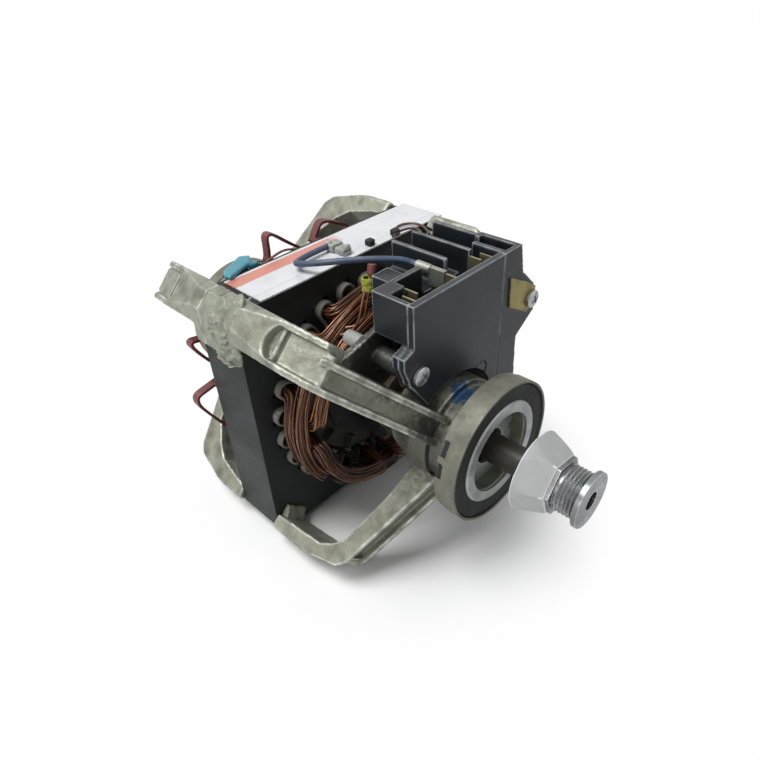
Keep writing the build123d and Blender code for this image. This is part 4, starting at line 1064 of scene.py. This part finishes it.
@dataclass
class Windings(Assembly):
    """The enamelled wire of both windings, as closed strands through their slots.

    Spans are half the angle between a coil's sides. Depths are the least and greatest radius in the
    slots. A reach is the straight way out of the stack.
    """

    strand_radius: float = 0.38
    main_poles: tuple[int, ...] = (90, 180, 270, 0)
    start_poles: tuple[int, ...] = (135, 225, 315, 45)
    shaded_poles: tuple[int, ...] = (0, 225, 315)
    # Poles low round the stack, whose strands are painted dark as shade; the lowest is painted darkest.
    deep_shade_poles: tuple[int, ...] = (270,)
    main_spans: tuple[float, ...] = (22.5, 37.5)
    start_spans: tuple[float, ...] = (37.5,)
    main_depth: Limits = (45.0, 51.9)
    start_depth: Limits = (40.7, 46.4)
    main_reach: float = 2.0
    start_reach: float = 13.2
    rows: int = 7
    columns: int = 4
    lean: float = 1.45
    group_step: float = 5.4
    layer_step: float = 2.5
    least_reach: float = 1.2
    turn: float = 4.6
    jitter: float = 0.65
    reach_jitter: float = 1.5
    bow_jitter: float = 0.8
    slot_dip: float = 1.0
    straight: float = 0.7
    knee_drop: float = 0.9
    knee_lift: float = 0.2
    knee_turn: float = 0.12
    bend: float = 0.9
    bow: float = 0.8
    bow_reach: float = 0.4
    least_points: int = 4
    point_angle: float = 9.0
    seed: int = 4

    def _tones(self, pole: int) -> tuple[Finish, Finish, Finish]:
        """Give a pole's three tones of wire: the low poles are painted dark as shade, the lowest darkest, and
        the others take a painted-light tone among theirs.

        Args:
            pole: Angle of the pole.

        Returns:
            The finishes that its strands take at random.
        """
        if pole in self.deep_shade_poles:
            return COPPER_DEEP_SHADE, COPPER_DARK_AND_SHADED, COPPER_DEEP_SHADE
        if pole in self.shaded_poles:
            return COPPER_DARK_AND_SHADED, COPPER_DEEP_SHADE, COPPER
        return COPPER, COPPER_LIT, COPPER_DARK_AND_SHADED

    def build(self) -> None:
        """Wind every pole."""
        rng = random.Random(self.seed)
        for kind, poles, spans, depth, reach in (
                ("main", self.main_poles, self.main_spans, self.main_depth, self.main_reach),
                ("start", self.start_poles, self.start_spans, self.start_depth, self.start_reach)):
            for number, pole in enumerate(poles, start=1):
                strands = self._bundle(pole, spans, depth, reach, rng)
                self.shop.wires(f"{kind}_coil_{number}", f"{kind}_winding_{number}", self._tones(pole),
                                strands, self.strand_radius, closed=True, order=4, steps=3, sides=1)

    def _bundle(self, pole: float, spans: Sequence[float], depth: Limits, reach: float,
                rng: random.Random) -> list[list[Vector]]:
        """Give the control points of every strand of one pole.

        Args:
            pole: Angle of the pole.
            spans: Half spans of its coils.
            depth: Least and greatest radius in the slots.
            reach: Straight way out of the stack.
            rng: Source of the strands' unevenness.

        Returns:
            One list of points for each strand.
        """
        strands = []
        for group, span in enumerate(spans):
            for row in range(self.rows):
                for column in range(self.columns):
                    share = row / (self.rows - 1)
                    side = 2 * column / (self.columns - 1) - 1
                    r = depth[0] + (depth[1] - depth[0]) * share + rng.uniform(-1, 1) * self.jitter
                    lean = side * self.lean + rng.uniform(-1, 1) * self.jitter
                    out = reach + group * self.group_step + (side + 1) / 2 * self.layer_step
                    out += rng.uniform(-1, 1) * self.jitter * self.reach_jitter
                    r = min(max(r, depth[0]), depth[1])
                    strands.append(self._loop(pole, span + math.degrees(lean / depth[1]), r,
                                              max(out, self.least_reach), rng))
        return strands

    def _loop(self, pole: float, span: float, r: float, out: float, rng: random.Random) -> list[Vector]:
        """Give the control points of one strand's closed line.

        Args:
            pole: Angle of the pole.
            span: Half span, in degrees.
            r: Radius in the slots.
            out: Straight way out of the stack.
            rng: Source of unevenness.

        Returns:
            The points.
        """
        points: list[Vector] = []
        wave = self.jitter * self.bow_jitter
        for face, way, first, last in ((STACK_FRONT, 1, pole - span, pole + span),
                                       (STACK_REAR, -1, pole + span, pole - span)):
            side = 1 if last > first else -1
            corner = math.degrees(self.turn / r) * side
            top = face + way * (out + self.turn)
            slot, free = face - way * self.slot_dip, face + way * out * self.straight
            knee, knee_r = top - way * self.knee_drop, r + self.knee_lift
            points += [polar(slot, r, first), polar(free, r, first),
                       polar(knee, knee_r, first + corner * self.knee_turn)]
            count = max(self.least_points, int(abs(last - first) / self.point_angle))
            for k in range(count + 1):
                share = k / count
                angle = first + corner * self.bend + (last - first - 2 * self.bend * corner) * share
                lift = self.bow * math.sin(math.pi * share)
                points.append(polar(top + way * (lift * self.bow_reach + rng.uniform(-wave, wave)),
                                    r + lift + rng.uniform(-wave, wave), angle))
            points += [polar(knee, knee_r, last - corner * self.knee_turn), polar(free, r, last),
                       polar(slot, r, last)]
        return points


@dataclass
class SlotFilms(Assembly):
    """The half-round films that line the slots and stand out at both faces as cuffs."""

    cuff: float = 3.2
    cuff_step: float = 0.05
    count: int = 24
    top: tuple[float, float] = (2.6, 41.2)
    round_centre: float = 49.5
    round_radius: float = 3.55
    wall: float = 0.18
    cuff_wall: float = 0.85
    steps: int = 10
    edge: float = 0.25

    def build(self) -> None:
        """Line every slot."""
        work = bmesh.new()
        for k in range(self.count):
            self._film(work, 360.0 / self.count * (k + 0.5))
        piece = self.shop.adopt("slot_cuffs", finished("slot_cuffs", work))
        self.shop.round_off(piece, "slot_liners", (LINER,), self.edge)

    def _outline(self, grow: float) -> list[tuple[float, float]]:
        """Give the film's open outline across the slot, grown outwards.

        Args:
            grow: How far it is grown, in millimetres.

        Returns:
            Points as distance across and radius.
        """
        points = [(-self.top[0] - grow, self.top[1])]
        reach = self.round_radius + grow
        for k in range(self.steps + 1):
            turn = math.pi * (1 - k / self.steps)
            points.append((reach * math.cos(turn), self.round_centre + reach * math.sin(turn)))
        points.append((self.top[0] + grow, self.top[1]))
        return points

    def _film(self, work: bmesh.types.BMesh, angle: float) -> None:
        """Add one slot's film.

        Args:
            work: Mesh to add to.
            angle: Angle of the slot.
        """
        across = polar(0, 1, angle + 90)
        stations = ((STACK_FRONT + self.cuff, self.cuff_wall), (STACK_FRONT + self.cuff_step, self.cuff_wall),
                    (STACK_FRONT, self.wall), (STACK_REAR, self.wall),
                    (STACK_REAR - self.cuff_step, self.cuff_wall), (STACK_REAR - self.cuff, self.cuff_wall))
        rings = []
        for x, wall in stations:
            outline = self._outline(wall) + self._outline(0.0)[::-1]
            rings.append([work.verts.new(polar(x, v, angle) + across * u) for u, v in outline])
        join_rings(work, rings)
        half = len(rings[0]) // 2
        for ring, flip in ((rings[0], True), (rings[-1], False)):
            for k in range(half - 1):
                quad = (ring[k], ring[k + 1], ring[-2 - k], ring[-1 - k])
                work.faces.new(quad[::-1] if flip else quad)


@dataclass
class Governor(Assembly):
    """The spring and the small turned and punched pieces of the centrifugal mechanism."""

    spring_start: float = -69.4
    spring_end: float = -63.0
    spring_radius: float = 9.0
    wire_radius: float = 0.45
    turns: int = 3
    steps: int = 16
    fine_pieces: FinePieces = (
        ("governor_collar", "sliding_collar", BROWN_PLASTIC, 0.3),
        ("governor_plate", "governor_disc", ROTOR_STEEL, 0.25),
        ("governor_weight_a", "swing_weight_a", DARK_STEEL, 0.3),
        ("governor_weight_b", "swing_weight_b", DARK_STEEL, 0.3))

    def build(self) -> None:
        """Wind the spring as one even helix and round the other pieces' edges."""
        total = self.turns * self.steps
        line = [polar(self.spring_start + (self.spring_end - self.spring_start) * k / total,
                      self.spring_radius, 360.0 * k / self.steps) for k in range(total + 1)]
        self.shop.wires("governor_spring", "collar_spring", (DARK_STEEL,), [line], self.wire_radius)
        self.fine_all(self.fine_pieces)


@dataclass
class ShaftParts(Assembly):
    """The cover, pulley and shaft in front of and behind the rings."""

    fine_pieces: FinePieces = (
        ("hub_cover", "hex_cover", COVER_PLASTIC, 0.5, 3), ("pulley", "belt_pulley", BRIGHT_STEEL, 0.18),
        ("shaft", "motor_shaft", DARK_STEEL, 0.3))

    def build(self) -> None:
        """Round the edges of the turned parts."""
        self.fine_all(self.fine_pieces)


@dataclass
class SwitchBlock(Assembly):
    """The open-terminal switch block with its cover, screws, clip and lever."""

    front: float = -20.0
    clip_wall: float = 0.9
    skin: Skin = Skin(voxel=0.5, passes=3)
    fine_pieces: FinePieces = (
        ("switch_terminals", "spade_terminals", TERMINAL, 0.15),
        ("switch_contacts", "switch_blades", TERMINAL, 0.12),
        ("ground_clip", "earth_clip", YELLOW_ZINC, 0.25),
        ("switch_lever", "rocking_lever", BROWN_PLASTIC, 0.3))
    left_screw: tuple[float, float] = (-21.7, 39.2)
    right_screw: tuple[float, float] = (51.1, 41.1)
    screw_turn: float = 20.0
    screw_soft: float = 40.0
    head_radius: float = 4.0
    head_height: float = 2.6
    head_rings: int = 22
    head_sides: int = 72
    head_rim: float = 0.25
    dome_drop: float = 0.42
    dome_power: float = 2.4
    cross_half: float = 0.55
    cross_taper: tuple[float, float] = (1.2, 0.25)
    cross_reach: float = 2.3
    cross_depth: float = 1.5
    cross_rise: float = 0.55
    thread_radius: float = 1.9
    thread_length: float = 13.5

    def build(self) -> None:
        """Make the block's pieces."""
        self.shop.lumpy("switch_housing", "switch_body", BLACK_PLASTIC, self.skin)
        self.shop.lumpy("switch_cover", "switch_front_cover", BLACK_PLASTIC, self.skin)
        self.fine_all(self.fine_pieces)
        work = bmesh.new()
        self._screw(work, self.left_screw, self.front)
        self._screw(work, self.right_screw, self.front + self.clip_wall)
        piece = self.shop.adopt("cross_head_screws", finished("cross_head_screws", work))
        self.shop.smooth(piece, self.screw_soft)
        self.shop.place(piece, "switch_screws", ZINC)

    def _height(self, y: float, z: float) -> float:
        """Give a screw head's height over its seat at a point, with its cross recess.

        Args:
            y: First coordinate from the screw's axis, in millimetres.
            z: Second coordinate from the screw's axis, in millimetres.

        Returns:
            The height in millimetres.
        """
        r = math.hypot(y, z)
        dome = self.head_height * (1 - self.dome_drop * (r / self.head_radius) ** self.dome_power)
        narrow, along = sorted((abs(y), abs(z)))
        widest, taper = self.cross_taper
        inside = narrow < self.cross_half * (widest - taper * along) and along < self.cross_reach
        return dome - (self.cross_depth * (1 - self.cross_rise * along / self.cross_reach) if inside else 0.0)

    def _screw(self, work: bmesh.types.BMesh, axis: tuple[float, float], seat: float) -> None:
        """Add one pan-head screw.

        Args:
            work: Mesh to add to.
            axis: Its place across the shaft.
            seat: Where its head rests, along the shaft.
        """
        turn = math.radians(self.screw_turn)
        rows: list[tuple[float, float | None]] = [
            (self.head_radius * ring / self.head_rings, None) for ring in range(1, self.head_rings + 1)]
        rows += [(self.head_radius, seat + self.head_rim), (self.head_radius - self.head_rim, seat),
                 (self.thread_radius, seat), (self.thread_radius, seat - self.thread_length)]
        grid: list[Ring] = []
        for r, level in rows:
            row = []
            for k in range(self.head_sides):
                angle = math.tau * k / self.head_sides
                dome = seat + self._height(r * math.cos(angle), r * math.sin(angle))
                x = dome if level is None else level
                row.append(work.verts.new(Vector((x, axis[0] + r * math.cos(angle + turn),
                                                  axis[1] + r * math.sin(angle + turn))) * MM))
            grid.append(row)
        for inner, outer in zip(grid, grid[1:]):
            for k, corner in enumerate(inner):
                after = (k + 1) % self.head_sides
                work.faces.new((corner, outer[k], outer[after], inner[after]))
        work.faces.new(grid[0])
        work.faces.new(grid[-1][::-1])


@dataclass
class Harness(Assembly):
    """The leads and small fittings on top of the stack.

    Each splice block is a middle, a length, width and height, and a turn in degrees. Each red loop is
    its outline across the shaft.
    """

    wire_steps: int = 8
    blue_radius: float = 1.3
    blue_sides: int = 4
    blue_route: Route = (
        (-42.0, 5.9, 66.8), (-46.2, 5.4, 67.2), (-50.0, 2.6, 68.6), (-55.4, -2.6, 69.3), (-62.1, -9.1, 69.5),
        (-70.7, -17.5, 69.0), (-80.7, -22.4, 67.0), (-86.9, -23.4, 65.5), (-89.2, -16.6, 65.0),
        (-89.5, -9.6, 65.2), (-89.6, -2.0, 65.0))
    thin_radius: float = 0.6
    thin_routes: tuple[Route, ...] = (
        ((-79.3, 27.7, 63.3), (-83.8, 34.5, 63.4), (-80.7, 41.3, 63.8), (-72.0, 41.9, 64.2),
         (-65.2, 37.0, 63.6)),
        ((-75.9, 24.7, 63.8), (-78.0, 30.2, 64.0), (-75.2, 36.6, 64.5), (-69.3, 35.3, 65.0),
         (-65.2, 32.0, 65.0)))
    copper_radius: float = 0.55
    copper_routes: tuple[Route, ...] = (
        ((-57.6, -8.6, 63.0), (-56.6, -12.4, 59.0), (-55.9, -15.5, 54.6), (-55.4, -17.9, 48.6),
         (-56.4, -21.5, 43.8), (-59.8, -25.0, 42.8)),
        ((-57.6, -6.8, 62.6), (-56.4, -10.4, 58.0), (-55.6, -13.4, 53.2), (-55.1, -15.6, 47.6),
         (-56.2, -19.0, 45.4), (-59.8, -22.0, 44.8)),
        ((-109.0, -33.0, 52.0), (-109.6, -26.5, 57.2), (-110.0, -15.9, 60.4), (-110.0, -7.9, 60.6),
         (-109.4, 1.0, 56.5)))
    fittings: FinePieces = (
        ("lead_caps", "wire_end_caps", RUBBER, 0.7, 3),
        ("lead_sleeve", "red_wire_sleeve", RED_SLEEVE, 0.4, 3),
        ("lead_terminal", "crimp_terminal", CRIMP, 0.4))
    clip_skin: Skin = Skin(voxel=0.45, passes=9)
    label_edge: float = 0.2
    cap_edge: float = 0.8
    tie_centre: Place = (-57.0, -9.6, 60.6)
    tie_radius: float = 2.9
    tie_height: float = 6.0
    tie_turns: int = 8
    tie_steps: int = 10
    tie_wander: float = 0.25
    tie_shift: float = 0.2
    tie_seed: int = 9
    thread_radius: float = 0.42
    splice_edge: float = 0.7
    splice_angle: float = 30.0
    splice_blocks: tuple[tuple[float, float, float, float, float, float, float], ...] = (
        (-88.6, 0.6, 64.6, 5.2, 6.6, 3.4, 0.0), (-82.6, 0.4, 64.4, 5.6, 5.2, 2.8, 0.0),
        (-85.6, 0.5, 63.5, 12.6, 4.2, 1.8, 0.0), (-89.8, -1.4, 66.1, 2.6, 2.4, 2.2, 20.0),
        (-86.6, -1.6, 66.0, 2.0, 3.0, 1.8, 0.0), (-81.4, 1.6, 65.6, 2.2, 3.4, 1.8, 15.0))
    loop_x: float = -113.0
    loop_width: float = 4.0
    loop_wall: float = 1.3
    loop_edge: float = 0.35
    loop_cuts: int = 3
    loop_shares: Limits = (0.22, 0.78)
    foot_depth: float = 2.8
    red_loops: tuple[tuple[tuple[float, float], ...], ...] = (
        ((-19.5, 57.0), (-18.0, 60.0), (-18.0, 72.0), (-4.0, 60.0), (0.5, 57.0)),
        ((7.5, 57.0), (9.5, 60.5), (14.0, 66.5), (28.0, 59.5), (32.0, 56.0)),
        ((-55.0, 36.5), (-58.0, 36.0), (-66.0, 37.5), (-59.5, 26.0), (-56.5, 22.5)),
        ((-56.5, 12.0), (-60.0, 11.5), (-71.0, 9.5), (-60.5, -10.0), (-57.0, -14.5)))

    def build(self) -> None:
        """Lay the leads and set the fittings."""
        shop = self.shop
        shop.wires("blue_lead", "blue_wire", (BLUE_LEAD,), [self._route(self.blue_route)], self.blue_radius,
                   steps=self.wire_steps, sides=self.blue_sides)
        for node, name, finish, routes, radius in (
                ("thin_leads", "thin_brown_wires", BROWN_LEAD, self.thin_routes, self.thin_radius),
                ("coil_leads", "copper_tails", COPPER, self.copper_routes, self.copper_radius)):
            shop.wires(node, name, (finish,), [self._route(route) for route in routes], radius,
                       steps=self.wire_steps)
        self._tie()
        self._splice()
        self.fine_all(self.fittings)
        shop.lumpy("lead_clip", "teal_holder", TEAL, self.clip_skin)
        shop.fine("label_plate", "label", LABEL, self.label_edge)
        self._loops()
        shop.fine("splice_cap", "wire_joint_cap", PALE_PLASTIC, self.cap_edge, 3)

    @staticmethod
    def _route(points: Iterable[Place]) -> list[Vector]:
        """Give a route in metres."""
        return [Vector(point) * MM for point in points]

    def _splice(self) -> None:
        """Fold the pale connector with its two crimps and its tail."""
        work = bmesh.new()
        for *middle, length, width, height, turn in self.splice_blocks:
            shape = Matrix.Diagonal((length * MM, width * MM, height * MM, 1.0))
            place = Matrix.Translation(Vector(middle) * MM) @ Matrix.Rotation(math.radians(turn), 4, "Z")
            bmesh.ops.create_cube(work, size=1.0, matrix=place @ shape)
        piece = self.shop.adopt("folded_splice", finished("folded_splice", work))
        self.shop.round_off(piece, "lead_splice", (PALE_PLASTIC, PALE_PLASTIC.edge()), self.splice_edge, 3,
                            self.splice_angle)

    def _loops(self) -> None:
        """Bend the stiff red strips that stand out behind the stack."""
        work = bmesh.new()
        wide = Vector((self.loop_width / 2, 0.0, 0.0))
        near, far = self.loop_shares
        for outline in self.red_loops:
            points = [Vector((0.0, y, z)) for y, z in outline]
            for _ in range(self.loop_cuts):
                cut = [points[0]]
                for here, after in zip(points, points[1:]):
                    cut += [here.lerp(after, near), here.lerp(after, far)]
                points = cut + [points[-1]]
            rings = []
            for number, point in enumerate(points):
                before, after = points[max(number - 1, 0)], points[min(number + 1, len(points) - 1)]
                side = self._half_wall((after - before).normalized())
                rings.append(section(work, point + Vector((self.loop_x, 0.0, 0.0)), side, wide))
            bar(work, rings)
            for end, inner in ((points[0], points[1]), (points[-1], points[-2])):
                self._foot(work, end, (inner - end).normalized())
        bmesh.ops.recalc_face_normals(work, faces=work.faces)
        piece = self.shop.adopt("red_slot_loops", finished("red_slot_loops", work))
        self.shop.round_off(piece, "phase_insulators", (RED_SLEEVE, RED_SLEEVE.edge()), self.loop_edge)

    def _half_wall(self, along: Vector) -> Vector:
        """Give half a loop's thickness, square to its way."""
        return Vector((0.0, -along.z, along.y)) * (self.loop_wall / 2)

    def _foot(self, work: bmesh.types.BMesh, end: Vector, along: Vector) -> None:
        """Add the strip that runs from a loop's end to the stack.

        Args:
            work: Mesh to add to.
            end: Place of the loop's end.
            along: Way of the loop there.
        """
        deep = along * (self.foot_depth / 2)
        bar(work, [section(work, end + deep + Vector((x, 0.0, 0.0)), self._half_wall(along), deep)
                   for x in (self.loop_x - self.loop_width / 2, STACK_REAR)])

    def _tie(self) -> None:
        """Wind the lacing thread round the copper tails."""
        rng = random.Random(self.tie_seed)
        cx, cy, cz = self.tie_centre
        total = self.tie_turns * self.tie_steps
        line = []
        for k in range(total + 1):
            angle = math.tau * k / self.tie_steps
            r = self.tie_radius + rng.uniform(-self.tie_wander, self.tie_wander)
            z = cz + self.tie_height * (k / total - 0.5) + rng.uniform(-self.tie_shift, self.tie_shift)
            line.append(Vector((cx + r * math.cos(angle), cy + r * math.sin(angle), z)) * MM)
        self.shop.wires("lead_tie", "lacing_thread", (TIE,), [line], self.thread_radius)


@dataclass
class Studio:
    """The camera, floor, backdrop light and lamps.

    The eye and the floor's height are in millimetres. The lamps, the floor's size and its fade are in
    metres. Each lamp is a name, a place, the edge of its square and its watts.
    """

    eye: Place = (103.0, -160.8, 175.3)
    right: Place = (0.7178, 0.6945, -0.0489)
    up: Place = (-0.3859, 0.4554, 0.8023)
    back: Place = (0.5795, -0.5570, 0.5949)
    focal_pixels: float = 611.58
    frame_pixels: float = 760.0
    sensor: float = 36.0
    clip: Limits = (0.01, 50.0)
    floor_z: float = -64.5
    floor_half: float = 6.0
    floor_colour: Colour = (0.93, 0.93, 0.93)
    floor_roughness: float = 0.8
    floor_specular: float = 0.2
    fade_centre: Place = (-0.07, 0.0, -0.0645)
    fade: Limits = (0.055, 0.125)
    backdrop: Colour = (1.0, 1.0, 1.0)
    sky: Colour = (0.93, 0.96, 1.0)
    sky_strength: float = 0.15
    aim: Place = (-0.08, 0.0, 0.0)
    lamps: tuple[tuple[str, Place, float, float], ...] = (
        ("key light", (-0.32, -0.45, 1.2), 0.65, 16.0), ("fill light", (0.9, 0.35, 0.75), 0.5, 1.5),
        ("side light", (0.0, -1.2, 0.4), 0.5, 3.2))

    def build(self) -> None:
        """Set up everything round the object."""
        self._camera()
        self._floor()
        self._world()
        for values in self.lamps:
            self._lamp(*values)

    def _camera(self) -> None:
        """Put the camera at the photograph's place."""
        camera = bpy.data.cameras.new("camera")
        camera.sensor_width = self.sensor
        camera.lens = self.focal_pixels * self.sensor / self.frame_pixels
        camera.clip_start, camera.clip_end = self.clip
        holder = Workshop.adopt("camera", camera)
        axes = Matrix((self.right, self.up, self.back)).transposed()
        holder.matrix_world = Matrix.Translation(Vector(self.eye) * MM) @ axes.to_4x4()
        bpy.context.scene.camera = holder

    def _floor(self) -> None:
        """Lay a plain pale floor under the feet."""
        size, z = self.floor_half, self.floor_z * MM
        mesh = bpy.data.meshes.new("floor")
        corners = [(-size, -size, z), (size, -size, z), (size, size, z), (-size, size, z)]
        mesh.from_pydata(corners, [], [(0, 1, 2, 3)])
        floor = Workshop.adopt("floor", mesh)
        mesh.materials.append(self._floor_material())

    def _floor_material(self) -> bpy.types.Material:
        """Make a floor that keeps the object's shadow and turns into the white backdrop farther out.

        Returns:
            The floor's material.
        """
        material = bpy.data.materials.new("pale floor")
        material.use_nodes = True
        sheet = NodeSheet(material.node_tree)
        shader = sheet.tree.nodes["Principled BSDF"]
        for name, value in (("Base Color", rgba(self.floor_colour)), ("Roughness", self.floor_roughness),
                            ("Specular IOR Level", self.floor_specular)):
            sheet.feed(shader.inputs[name], value)
        white = sheet.node("Emission", {"Color": rgba(self.backdrop), "Strength": 1.0})
        way = sheet.node("VectorMath", {0: sheet.coordinates(), 1: self.fade_centre}, operation="DISTANCE")
        far = sheet.node("MapRange", {"Value": way.outputs["Value"], "From Min": self.fade[0],
                                      "From Max": self.fade[1]}, interpolation_type="SMOOTHSTEP")
        seen = sheet.product(sheet.node("LightPath").outputs["Is Camera Ray"], far.outputs["Result"])
        mixed = sheet.node("MixShader", {"Fac": seen, 1: shader.outputs[0], 2: white.outputs[0]})
        sheet.feed(sheet.tree.nodes["Material Output"].inputs["Surface"], mixed.outputs[0])
        return material

    def _world(self) -> None:
        """Light the scene softly and show the backdrop as white."""
        world = bpy.data.worlds.new("soft box")
        world.use_nodes = True
        bpy.context.scene.world = world
        world.node_tree.nodes.clear()
        sheet = NodeSheet(world.node_tree)
        light = sheet.node("Background", {"Color": rgba(self.sky), "Strength": self.sky_strength})
        white = sheet.node("Background", {"Color": rgba(self.backdrop), "Strength": 1.0})
        path = sheet.node("LightPath").outputs
        either = sheet.maths("ADD", path["Is Camera Ray"], path["Is Glossy Ray"])
        seen = sheet.node("Math", {0: either, 1: path["Is Transmission Ray"]}, operation="ADD",
                          use_clamp=True)
        mixed = sheet.node("MixShader", {"Fac": seen.outputs[0], 1: light.outputs[0], 2: white.outputs[0]})
        sheet.node("OutputWorld", {"Surface": mixed.outputs[0]})

    def _lamp(self, name: str, place: Place, size: float, power: float) -> None:
        """Hang one soft lamp that points at the object.

        Args:
            name: Lamp name.
            place: Where it hangs, in metres.
            size: Edge of its square, in metres.
            power: Watts.
        """
        lamp = bpy.data.lights.new(name, "AREA")
        lamp.energy = power
        lamp.size = size
        holder = Workshop.adopt(name, lamp)
        holder.location = place
        way = Vector(self.aim) - Vector(place)
        holder.rotation_euler = way.to_track_quat("-Z", "Y").to_euler()


def main() -> None:
    """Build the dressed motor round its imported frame."""
    logging.basicConfig(level=logging.INFO)
    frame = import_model()
    Studio().build()
    bpy.context.scene.view_settings.view_transform = "Standard"
    shop = Workshop(frame)
    for assembly in (Castings, Rings, SlotFilms, Windings, Governor, ShaftParts, SwitchBlock, Harness):
        assembly(shop).build()
    shop.dress_rest()
    bpy.context.view_layer.update()


if __name__ == "__main__":
    main()
